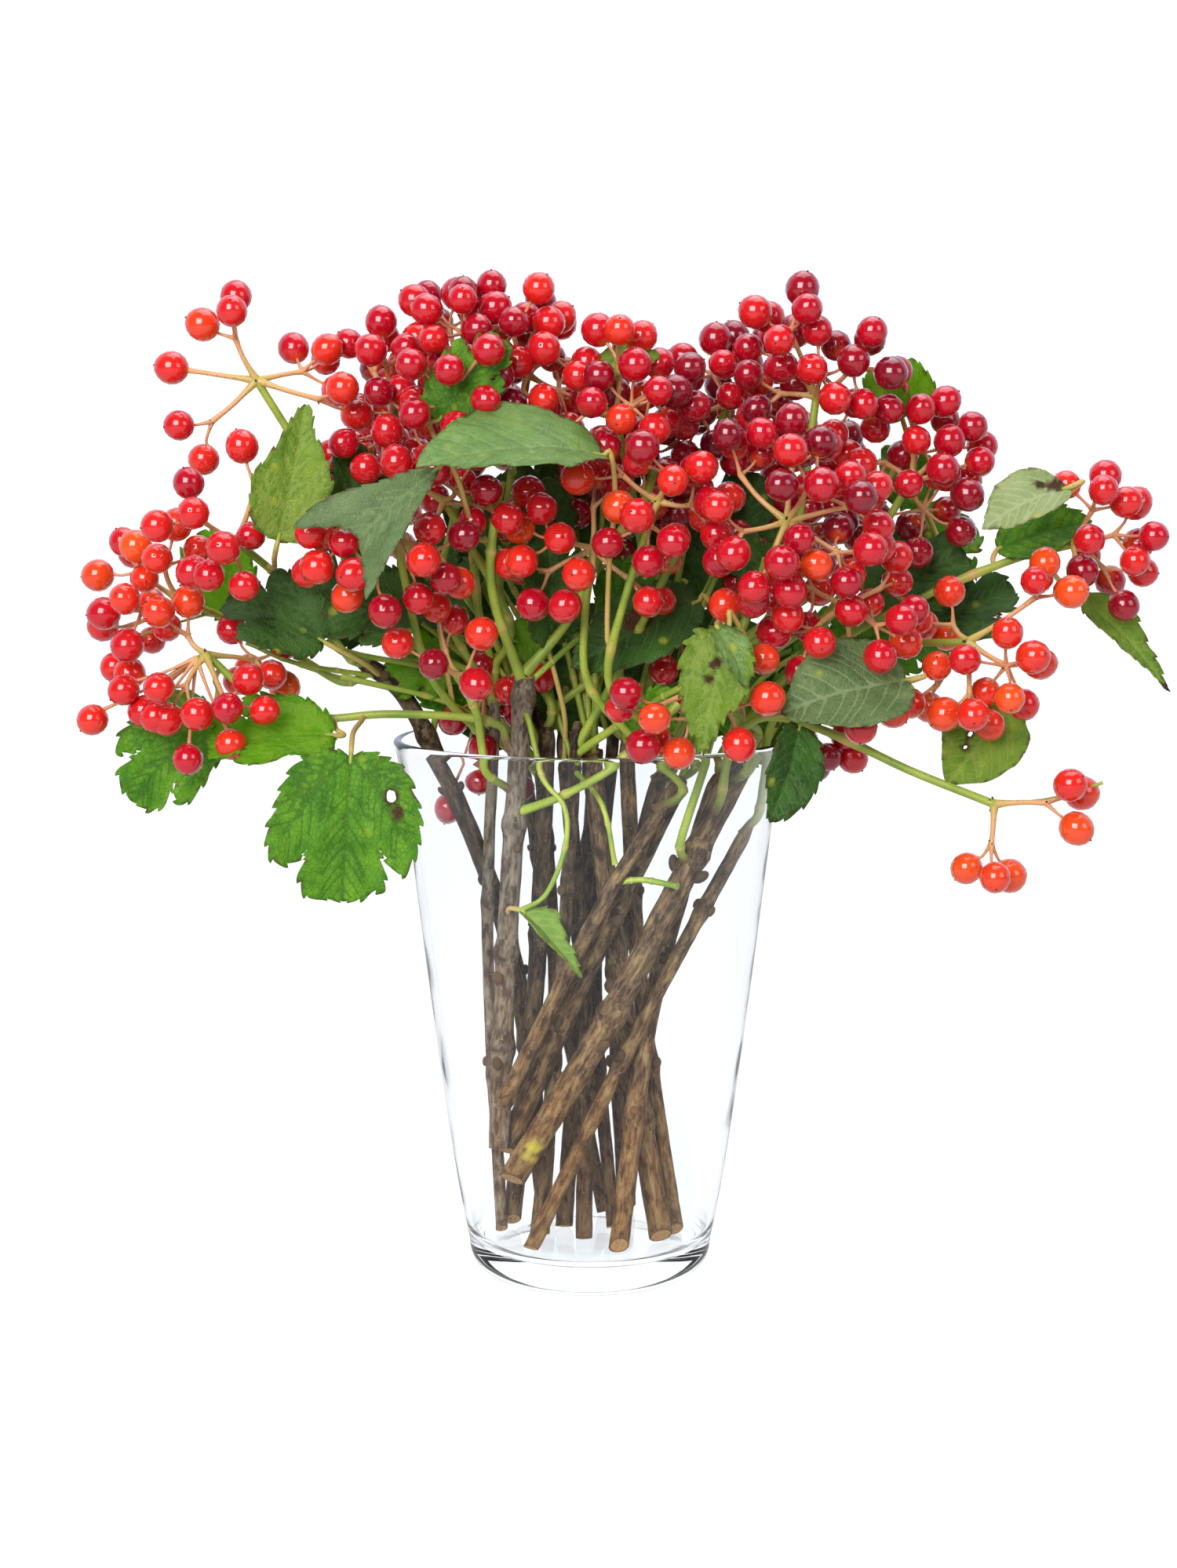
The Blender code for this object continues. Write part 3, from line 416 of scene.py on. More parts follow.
@dataclass(frozen=True)
class BarkSkin(Finish):
    """Guelder rose bark: thin, grey when dry, golden brown below, with fine streaks and raised pores."""

    dry: str
    dry_deep: str
    brown: str
    brown_deep: str
    dry_above: float = 115.0
    brown_below: float = 50.0
    knot: str = "#2A1A10"
    pore: str = "#B49C78"
    fleck: str = "#94794F"
    rind: str = "#C4B03E"

    def surface(self, add: Callable[..., Node]) -> Node:
        """Lay out the bark. Streaks follow each cane's own length through its UV map, in millimetres.

        Args:
            add: adds a node to the material's tree.

        Returns:
            The shader.
        """
        coords = add("TexCoord").outputs
        # Fine streaks 1.4 mm wide and 6 mm long, stains 4 by 9 mm, and pores about 3 mm apart.
        along, wide, spread = (add("Mapping", {"Vector": coords["UV"], "Scale": (across, length, 1.0)})
                               for across, length in ((0.7, 0.16), (0.25, 0.11), (0.55, 0.4)))
        fine = add("TexNoise", {"Vector": along, "Scale": 1.0, "Detail": 6.0, "Roughness": 0.7,
                                "Distortion": 0.15})
        stain = add("TexNoise", {"Vector": wide, "Scale": 1.0, "Detail": 4.0, "Roughness": 0.6})
        streak = add("Mix", {0: 0.45, 2: fine, 3: stain})
        height = add("SeparateXYZ", {0: coords["Object"]}).outputs["Z"]
        patch = add("TexNoise", {"Vector": coords["Object"], "Scale": 45.0, "Detail": 3.0})
        blotch = add("Math", {0: patch, 1: 0.09, 2: -0.045}, operation="MULTIPLY_ADD")
        level = add("Math", {0: height, 1: blotch}, operation="ADD")
        dryness = add("MapRange", {"Value": level, "From Min": self.brown_below * MM,
                                   "From Max": self.dry_above * MM})
        colour, high = (add("ValToRGB", {"Fac": streak}, ((0.43, deep), (0.5, middle), (0.6, self.fleck)))
                        for deep, middle in ((self.brown_deep, self.brown), (self.dry_deep, self.dry)))
        # Raised breathing pores, dark knots, and bark scraped off down to the bright inner rind.
        pores = add("TexVoronoi", {"Vector": spread, "Scale": 1.0})
        wart = add("MapRange", {"Value": pores, "From Min": 0.08, "From Max": 0.18, "To Min": 1.0,
                                "To Max": 0.0})
        pale = add("Math", {0: wart, 1: 0.5}, operation="MULTIPLY")
        knot, scrape = (add("Attribute", attribute_name=name).outputs["Fac"] for name in ("knot", "scrape"))
        for share, tone in ((dryness, high), (pale, self.pore), (knot, self.knot), (scrape, self.rind)):
            colour = add("Mix", {0: share, 6: colour, 7: tone}, data_type="RGBA")
        relief = add("Math", {0: wart, 1: 0.4, 2: streak}, operation="MULTIPLY_ADD")
        bump = add("Bump", {"Strength": 1.0, "Distance": 0.001, "Height": relief})
        return add("BsdfPrincipled", {"Base Color": colour, "Roughness": 0.75, "Specular IOR Level": 0.2,
                                      "Normal": bump})


class Bark(Enum):
    """The bark's ages."""

    WEATHERED = BarkSkin("bark_weathered_grey", "#776A5C", "#483C31", "#735639", "#432F1E", 150.0, 60.0,
                         fleck="#968977")
    BROWN = BarkSkin("bark_golden_brown", "#5F4A35", "#332418", "#765029", "#432A15")
    DARK = BarkSkin("bark_old_dark", "#4C3C2C", "#251B13", "#69492A", "#33210F", fleck="#77644A")


@dataclass(frozen=True)
class CutWood(Finish):
    """Freshly cut shoot wood: pale orange-tan with a soft pith, dull and finely fibrous."""

    name: str = "cut_wood_end"
    wood: str = "#C99A5E"
    stained: str = "#8F6436"

    def surface(self, add: Callable[..., Node]) -> Node:
        """Lay out the material's nodes.

        Args:
            add: adds a node to the material's tree.

        Returns:
            The shader.
        """
        place = add("TexCoord").outputs["Object"]
        # Fibre ends, 0.5 mm apart.
        fibre = add("TexNoise", {"Vector": place, "Scale": 1500.0, "Detail": 4.0})
        colour = add("ValToRGB", {"Fac": fibre}, ((0.35, self.stained), (0.6, self.wood)))
        bump = add("Bump", {"Strength": 0.5, "Distance": 0.0003, "Height": fibre})
        return add("BsdfPrincipled", {"Base Color": colour, "Roughness": 0.8, "Normal": bump})


@dataclass(frozen=True)
class DryScale(Finish):
    """Dry bract and bud scale: thin, brown and papery."""

    name: str = "dry_bract_scale"
    brown: str = "#7A5632"
    dark: str = "#3F2A1A"

    def surface(self, add: Callable[..., Node]) -> Node:
        """Lay out the material's nodes.

        Args:
            add: adds a node to the material's tree.

        Returns:
            The shader.
        """
        place = add("TexCoord").outputs["Object"]
        # Blotches 1.5 mm across.
        blotch = add("TexNoise", {"Vector": place, "Scale": 650.0, "Detail": 3.0})
        colour = add("ValToRGB", {"Fac": blotch}, ((0.38, self.dark), (0.62, self.brown)))
        return add("BsdfPrincipled", {"Base Color": colour, "Roughness": 0.8, "Specular IOR Level": 0.2})


@dataclass(frozen=True)
class LeafSkin(Finish):
    """One side of a guelder rose blade: satin cuticle, sunk veins above and raised pale veins below."""

    blade: str
    deep: str
    vein: str
    glow: str
    through: float = 0.3
    roughness: float = 0.42
    shine: float = 0.25
    spot: str = "#B9BE3A"
    blight: str = "#53371F"

    def surface(self, add: Callable[..., Node]) -> Node:
        """Lay out the leaf's skin. It reads the blade's own vein distance, blight and UV map in millimetres.

        Args:
            add: adds a node to the material's tree.

        Returns:
            The shader.
        """
        flat = add("TexCoord").outputs["UV"]
        vein, brown = (add("Attribute", attribute_name=name).outputs["Fac"] for name in ("vein", "brown"))
        # The fine vein net has meshes about 1.6 mm wide, and yellow spots 1 to 3 mm across lie far apart.
        net = add("TexVoronoi", {"Vector": flat, "Scale": 0.6}, feature="DISTANCE_TO_EDGE")
        spots = add("TexVoronoi", {"Vector": flat, "Scale": 0.085, "Randomness": 1.0})
        rib, vein_shade_mask, mesh, spot = (add("MapRange", {"Value": source, "From Min": low, "From Max": high,
                                                  "To Min": most, "To Max": 0.0}) for source, low, high,
                                 most in ((vein, 0.6, 1.5, 1.0), (vein, 0.5, 6.0, 1.0),
                                          (net, 0.02, 0.13, 1.0), (spots, 0.05, 0.16, 0.7)))
        # Painted shade: the blade darkens towards its deep green in broad bands beside the veins, standing
        # for shade in their sunk grooves.
        shaded, thread, ribs = (add("Math", {0: mask, 1: share}, operation="MULTIPLY")
                                for mask, share in ((vein_shade_mask, 0.12), (mesh, 0.22), (rib, 0.5)))
        # Light and dark clouds about 9 mm across.
        cloud = add("TexNoise", {"Vector": flat, "Scale": 0.11, "Detail": 4.0, "Roughness": 0.6})
        colour = add("ValToRGB", {"Fac": cloud}, ((0.36, self.deep), (0.66, self.blade)))
        for share, tone in ((shaded, self.deep), (thread, self.vein), (ribs, self.vein), (spot, self.spot),
                            (brown, self.blight)):
            colour = add("Mix", {0: share, 6: colour, 7: tone}, data_type="RGBA")
        fine = add("TexNoise", {"Vector": flat, "Scale": 2.2, "Detail": 3.0})
        grooves = add("Math", {0: mesh, 1: -0.55, 2: fine}, operation="MULTIPLY_ADD")
        bump = add("Bump", {"Strength": 0.6, "Distance": 0.0004, "Height": grooves})
        front = add("BsdfPrincipled", {"Base Color": colour, "Roughness": self.roughness,
                                       "Specular IOR Level": self.shine, "Normal": bump})
        lit = add("Mix", {0: brown, 6: self.glow, 7: self.blight}, data_type="RGBA")
        return add("MixShader", {0: self.through, 1: front, 2: add("BsdfTranslucent", {"Color": lit})})


class Foliage(Enum):
    """The blade finishes, as upper skin and lower skin."""

    FRESH = (LeafSkin("leaf_fresh_upper", "#7DB52D", "#478320", "#35591B", "#8CC423"),
             LeafSkin("leaf_fresh_lower", "#86A564", "#6E9150", "#A5BC85", "#8CC423"))
    BRIGHT = (LeafSkin("leaf_bright_upper", "#7DB01F", "#528F1A", "#9CC04A", "#A5D92C", 0.45),
              LeafSkin("leaf_bright_lower", "#93B552", "#79A03F", "#B8CE85", "#A5D92C", 0.45))
    # Dark: a dark green that is partly the leaves' own colour and partly painted shade, for leaves deep in
    # the bunch.
    DARK = (LeafSkin("leaf_dark_upper", "#3E6822", "#294817", "#557838", "#5E9420", 0.12, 0.38),
            LeafSkin("leaf_dark_lower", "#5E7C44", "#4B6A36", "#7C9660", "#5E9420", 0.12))
    # Grey: its pale grey-green is partly the leaf's own green and partly painted sheen of the upper surface.
    GREY = (LeafSkin("leaf_grey_upper", "#7C9F4E", "#5F853E", "#93AE69", "#8FBF3E", 0.2, 0.36, 0.4),
            LeafSkin("leaf_grey_lower", "#8BA56F", "#75915B", "#AFC196", "#8FBF3E", 0.2))
    OLIVE = (LeafSkin("leaf_olive_upper", "#8FAB3C", "#648A2A", "#A3B659", "#A9C53C", 0.3),
             LeafSkin("leaf_olive_lower", "#9BAC63", "#81974C", "#BCC88C", "#A9C53C", 0.3))
    SAGE = (LeafSkin("leaf_sage_upper", "#748A55", "#5B7344", "#869A66", "#7FA83C", 0.2, 0.4, 0.35),
            LeafSkin("leaf_sage_lower", "#8BA56F", "#75915B", "#AFC196", "#7FA83C", 0.2))
    REVERSE = (LeafSkin("leaf_reverse_upper", "#748A55", "#5C7744", "#A9B98A", "#84AE3C", 0.2, 0.5),
               LeafSkin("leaf_reverse_lower", "#5C7E38", "#456427", "#41601F", "#84AE3C", 0.2))
    PALE = (LeafSkin("leaf_pale_upper", "#AEBB82", "#95A868", "#CDD6A8", "#B9CE6A", 0.3, 0.5),
            LeafSkin("leaf_pale_lower", "#5C7E38", "#456427", "#41601F", "#B9CE6A", 0.3))


@dataclass(frozen=True)
class VaseGlass(Finish):
    """Clear soda-lime glass, blown and fire-polished: bright lines at rim and base.

    Its index is below the real 1.52, which keeps the dark lines in the thick base and edges faint.
    """

    name: str = "clear_soda_lime_glass"
    tint: str = "#F9FBFD"
    ior: float = 1.3

    def surface(self, add: Callable[..., Node]) -> Node:
        """Lay out the glass. Lamps reach through it, so the glass casts only a faint shadow.

        Args:
            add: adds a node to the material's tree.

        Returns:
            The shader.
        """
        place = add("TexCoord").outputs["Object"]
        # Slow waves of blown glass, 30 mm long.
        waves = add("TexNoise", {"Vector": place, "Scale": 32.0, "Detail": 1.0})
        bump = add("Bump", {"Strength": 0.25, "Distance": 0.002, "Height": waves})
        shader = add("BsdfPrincipled", {"Base Color": self.tint, "Roughness": 0.015, "IOR": self.ior,
                                        "Transmission Weight": 1.0, "Normal": bump})
        shadow = add("LightPath").outputs["Is Shadow Ray"]
        return add("MixShader", {0: shadow, 1: shader, 2: add("BsdfTransparent", {"Color": "#EEF4F5"})})


# ---- geometry node trees


class NodeTool:
    """A geometry node tree with named inputs that turns a seed mesh into a plain mesh."""

    NAME = ""
    INPUTS: dict[str, str] = {}

    @classmethod
    def shared(cls) -> "NodeTool":
        """The one tree of this kind, made when first asked for."""
        if "made" not in cls.__dict__:
            cls.made = cls()
        return cls.made

    def __init__(self) -> None:
        """Name the inputs, then grow the shape, realise it, smooth it and give it its material."""
        self.tree = bpy.data.node_groups.new(self.NAME, "GeometryNodeTree")
        self.add = partial(add_node, self.tree)
        face, self.keys = self.tree.interface, {}
        face.new_socket(name="Geometry", in_out="INPUT", socket_type="NodeSocketGeometry")
        for label, kind in (*self.INPUTS.items(), ("Material", "Material")):
            socket = face.new_socket(name=label, in_out="INPUT", socket_type="NodeSocket" + kind)
            self.keys[label] = socket.identifier
        face.new_socket(name="Geometry", in_out="OUTPUT", socket_type="NodeSocketGeometry")
        self.source = self.add("NodeGroupInput").outputs
        real = self.add("RealizeInstances", {0: self.grow()})
        smooth = self.add("SetShadeSmooth", {0: real})
        self.add("NodeGroupOutput", {0: self.add("SetMaterial", {0: smooth,
                                                                 "Material": self.source["Material"]})})

    def grow(self) -> Node:
        """The node that gives the shape. Each tool has its own."""
        raise NotImplementedError

    def placed(self, shape: Node, squash: Node | None = None) -> Node:
        """Set a shape on each point of the seed, turned the point's way and scaled by its size.

        Args:
            shape: the shape, which looks up.
            squash: a random stretch of each one.

        Returns:
            The instances.
        """
        way = self.add("InputNamedAttribute", {"Name": "way"}, data_type="FLOAT_VECTOR")
        size = self.add("InputNamedAttribute", {"Name": "size"}, data_type="FLOAT")
        aim = self.add("AlignRotationToVector", {"Vector": way}, axis="Z")
        if squash:
            size = self.add("VectorMath", {0: squash, "Scale": size}, operation="SCALE")
        return self.add("InstanceOnPoints", {"Points": self.source["Geometry"], "Instance": shape,
                                             "Rotation": aim, "Scale": size})

    def run(self, piece: Object, **values: object) -> Object:
        """Run the tree on a seed object.

        Args:
            piece: the object whose mesh is the seed.
            **values: input values by name, with spaces as underscores.

        Returns:
            The piece as a plain mesh.
        """
        modifier = piece.modifiers.new("grow", "NODES")
        modifier.node_group = self.tree
        for label, value in values.items():
            modifier[self.keys[label.replace("_", " ")]] = value
        return settle(piece)


class BerryTool(NodeTool):
    """Sets a berry with its calyx scar on each point, by its own size, direction and ripeness."""

    NAME = "berries_on_points"
    INPUTS = {"Segments": "Int", "Rings": "Int", "Tip Rise": "Float", "Scar Radius": "Float", "Seed": "Int"}

    def grow(self) -> Node:
        """A ball with a slightly raised tip and a small five-sided scar.

        Returns:
            The berries.
        """
        add, source = self.add, self.source
        ball = add("MeshUVSphere", {"Segments": source["Segments"], "Rings": source["Rings"], "Radius": 1.0})
        scar = add("MeshCone", {"Vertices": 5, "Radius Top": 0.05, "Radius Bottom": source["Scar Radius"],
                                "Depth": 0.09})
        height = add("SeparateXYZ", {0: add("InputPosition")}).outputs["Z"]
        ball, scar = (add("StoreNamedAttribute", {"Geometry": shape, "Name": "tip", "Value": value},
                          data_type="FLOAT", domain="POINT") for shape, value in ((ball, height),
                                                                                  (scar, 2.0)))
        upper = add("Math", {0: height, 1: 0.0}, operation="MAXIMUM")
        point = add("Math", {0: upper, 1: 9.0}, operation="POWER")
        rise = add("Math", {0: point, 1: source["Tip Rise"]}, operation="MULTIPLY")
        berry = add("SetPosition", {0: ball, "Offset": add("CombineXYZ", {"Z": rise})})
        scar = add("Transform", {"Geometry": scar, "Translation": (0.0, 0.0, 0.985)})
        squash = add("RandomValue", {0: (0.96, 0.96, 0.97), 1: (1.02, 1.02, 1.05), "Seed": source["Seed"]},
                     data_type="FLOAT_VECTOR")
        return self.placed(add("JoinGeometry", {0: [berry, scar]}), squash)


class StalkTool(NodeTool):
    """Sweeps a round stalk along each line of the seed mesh, as wide as its points say."""

    NAME = "stalks_on_lines"
    INPUTS = {"Sides": "Int"}

    def grow(self) -> Node:
        """Edges become curves, and a circle scaled by girth runs along them.

        Returns:
            The stalks.
        """
        lines = self.add("MeshToCurve", {0: self.source["Geometry"]})
        girth = self.add("InputNamedAttribute", {"Name": "girth"}, data_type="FLOAT")
        circle = self.add("CurvePrimitiveCircle", {"Resolution": self.source["Sides"], "Radius": 1.0})
        return self.add("CurveToMesh", {"Curve": lines, "Profile Curve": circle, "Scale": girth,
                                        "Fill Caps": True})


class BudTool(NodeTool):
    """Sets a pointed bud on each point of the seed mesh, by its own size and direction."""

    NAME = "buds_on_points"
    INPUTS = {"Sides": "Int", "Slimness": "Float"}

    def grow(self) -> Node:
        """A ball drawn out to a point.

        Returns:
            The buds.
        """
        ball = self.add("MeshUVSphere", {"Segments": self.source["Sides"], "Rings": 6, "Radius": 1.0})
        slim = self.add("CombineXYZ", {"X": self.source["Slimness"], "Y": self.source["Slimness"], "Z": 1.0})
        return self.placed(self.add("Transform", {"Geometry": ball, "Scale": slim}))


def seed_mesh(name: str, points: Sequence[Vector], edges: Sequence[tuple[int, int]],
              **fields: Sequence) -> Object:
    """A mesh of loose points or lines that a node tree grows from.

    Args:
        name: the object's name.
        points: places in millimetres.
        edges: pairs of point numbers.
        **fields: one number or vector for each point, stored as an attribute.

    Returns:
        The linked object, in metres.
    """
    data = bpy.data.meshes.new(name)
    data.from_pydata([Vector(p) * MM for p in points], list(edges), [])
    for label, values in fields.items():
        if isinstance(values[0], Vector):
            layer = data.attributes.new(label, "FLOAT_VECTOR", "POINT")
            layer.data.foreach_set("vector", [c for value in values for c in value])
        else:
            layer = data.attributes.new(label, "FLOAT", "POINT")
            layer.data.foreach_set("value", list(values))
    return link_mesh(name, data)


# ---- vase


@dataclass
class Vase:
    """The tapered vase: a turned wall with a rounded rim and a thick base."""

    height: float = 180.0
    rim_radius: float = 65.0
    heel_radius: float = 40.8
    heel_height: float = 10.0
    foot_radius: float = 33.8
    wall: float = 2.4
    floor: float = 10.0
    lip: float = 3.2
    corner_height: float = 8.0
    corner_reach: float = 7.0
    segments: int = 128
    underside: tuple = ((0.0, 1.6), (12.0, 1.4), (22.0, 0.9), (30.0, 0.25), (32.6, 0.0))
    belly: tuple = ((10, 40.8), (18, 42.4), (30, 44.6), (45, 46.9), (60, 49.0), (75, 51.0), (90, 52.9),
                    (105, 54.8), (120, 56.6), (135, 58.4), (150, 60.2), (160, 61.5), (168, 62.7), (174, 63.8),
                    (180, 65.0))

    def outer(self, height: float) -> float:
        """The outside radius at a height above the heel, on a slightly bellied taper."""
        heights, radii = zip(*self.belly)
        return float(np.interp(height, heights, radii))

    def profile(self) -> list[tuple[float, float]]:
        """The turned outline.

        Returns:
            Radius and height, from the underside's centre out, up, over the rim and down inside.
        """
        line = [*self.underside, (self.foot_radius, 0.0)]
        top, corner = self.height - self.lip, self.outer(self.floor + self.corner_height) - self.wall
        middle, bead = self.rim_radius - self.wall / 2 - 0.15, self.wall / 2 + 0.15
        for angle in (pi / 2 * k / 8 for k in range(1, 9)):
            line.append((self.foot_radius + (self.heel_radius - self.foot_radius) * sin(angle),
                         self.heel_height * (1 - cos(angle))))
        for height in (self.heel_height + (top - self.heel_height) * k / 18 for k in range(1, 19)):
            line.append((self.outer(height), height))
        for angle in (pi * k / 8 for k in range(9)):
            line.append((middle + bead * cos(angle), self.height - bead + bead * sin(angle)))
        for height in (top - (top - self.floor - self.corner_height) * k / 18 for k in range(19)):
            line.append((self.outer(height) - self.wall, height))
        for k in range(1, 8):
            angle = pi / 2 * k / 7
            line.append((corner - self.corner_reach * (1 - cos(angle)) - 0.5 * k / 7,
                         self.floor + self.corner_height * (1 - sin(angle))))
        line += [(24.0, self.floor + 0.15), (12.0, self.floor + 0.5), (0.0, self.floor + 0.6)]
        return line

    def build(self) -> Object:
        """Turn the outline into the vase.

        Returns:
            The finished glass piece.
        """
        mesh, rings = bmesh.new(), []
        turns = [2 * pi * k / self.segments for k in range(self.segments)]
        for radius, height in self.profile():
            rings.append([mesh.verts.new((radius * MM * cos(turn), radius * MM * sin(turn), height * MM))
                          for turn in (turns if radius else turns[:1])])
        for lower, upper in zip(rings[:-1], rings[1:]):
            bridge(mesh, lower, upper)
        return link_mesh("vase_glass", to_data(mesh, "vase_glass"), VaseGlass().build())


# ---- canes


WEATHERED, BROWN, DARK_BARK = Bark


@dataclass(frozen=True)
class Cane:
    """A woody cane by its centre line from the cut bottom up, in millimetres."""

    name: str
    line: tuple
    bottom_radius: float
    top_radius: float
    knots: tuple = (0.33, 0.66)
    cut_tilt: float = 25.0
    bark: Bark = DARK_BARK
    cut_top: bool = False
    scrape: float = 0.0


CANES = (
    Cane("cane_thick_right", ((-27, -20, 33), (8, -26, 94), (50, -20, 176)), 4.0, 3.6, (0.42, 0.78), 34,
         BROWN, scrape=0.1),
    Cane("cane_mid_right", ((-29, -8.8, 40), (-4, -14, 98), (30, -9, 168)), 3.3, 3.0, (0.36, 0.68), 35,
         BROWN),
    Cane("cane_short_right", ((-29, -21.4, 60), (2, -24, 124), (24, -21, 160)), 2.4, 2.1, (0.03, 0.48), 10,
         BROWN),
    Cane("cane_front_left", ((-30, -15, 44), (-27, -18, 115), (-21, -24, 203)), 3.2, 3.0,
         (0.22, 0.42, 0.69, 0.95), 10, WEATHERED, cut_top=True),
    Cane("cane_thin_left", ((-30, 2, 12), (-34, -4, 110), (-31, -6, 196)), 1.9, 1.7, (0.3, 0.62), 40,
         WEATHERED),
    Cane("cane_thin_right", ((-20, -23, 13), (15, -19, 84), (52, -12, 152)), 2.3, 2.1, (0.45, 0.8), 30,
         BROWN),
    Cane("cane_front_right", ((9, -25, 13), (21, -11, 95), (43, 4, 168)), 3.0, 2.6, (0.28, 0.6), 45, BROWN),
    Cane("cane_right_leaning", ((29, 9, 14), (9, 12, 100), (1, 8, 168)), 2.8, 2.5, (0.3, 0.7), 30,
         cut_top=True),
    Cane("cane_right_stout", ((24, -11, 14), (11, -5, 90), (0, -3, 176)), 3.6, 3.1, (0.25, 0.55), 35, BROWN,
         cut_top=True),
    Cane("cane_right_pale", ((29, -2, 15), (17, 3, 95), (12, 9, 178)), 2.7, 2.4, (0.35, 0.7), 40, BROWN),
    Cane("cane_centre_left", ((-9, 6, 13), (-3, 9, 92), (2, 24, 174)), 2.7, 2.4, (0.4, 0.8), 20,
         cut_top=True),
    Cane("cane_centre", ((-2, -4, 13), (-2, 1, 92), (-9, -1, 182)), 2.6, 2.3, (0.3, 0.6), 5),
    Cane("cane_back_left", ((5, 23, 14), (-12, 20, 100), (-24, 17, 180)), 2.2, 2.0, (0.4, 0.75), 20),
    Cane("cane_rim_left", ((-15, 17, 13), (-27, 7, 108), (-57, 0, 186), (-77, -2, 207)), 3.0, 2.6,
         (0.3, 0.55, 0.83), 20),
    Cane("cane_left_stout", ((-27, 7, 14), (-18, -3, 100), (-14, -7, 184)), 2.9, 2.6, (0.3, 0.6), 45),
    Cane("cane_back_right", ((13, 27, 14), (10, 25, 100), (24, 14, 168)), 3.0, 2.6, (0.3, 0.7), 30),
)

# Thin canes deeper in the bunch.
INNER_CANES = (
    Cane("cane_inner_front", ((-18, -8, 14), (-10, -9, 95), (-4, -12, 186)), 2.1, 1.9, (0.35, 0.7), 20),
    Cane("cane_inner_back", ((8, 6, 14), (2, 17, 95), (9, 16, 192)), 2.1, 1.9, (0.3, 0.62), 20),
    Cane("cane_inner_left", ((-16, -2, 14), (-12, 8, 95), (-18, 4, 190)), 2.1, 1.9, (0.4, 0.75), 20, BROWN),
)

FLOOR_BORNE_BELOW = 20.0
SEAT_GAP = 0.3
VASE_FLOOR = 10.0


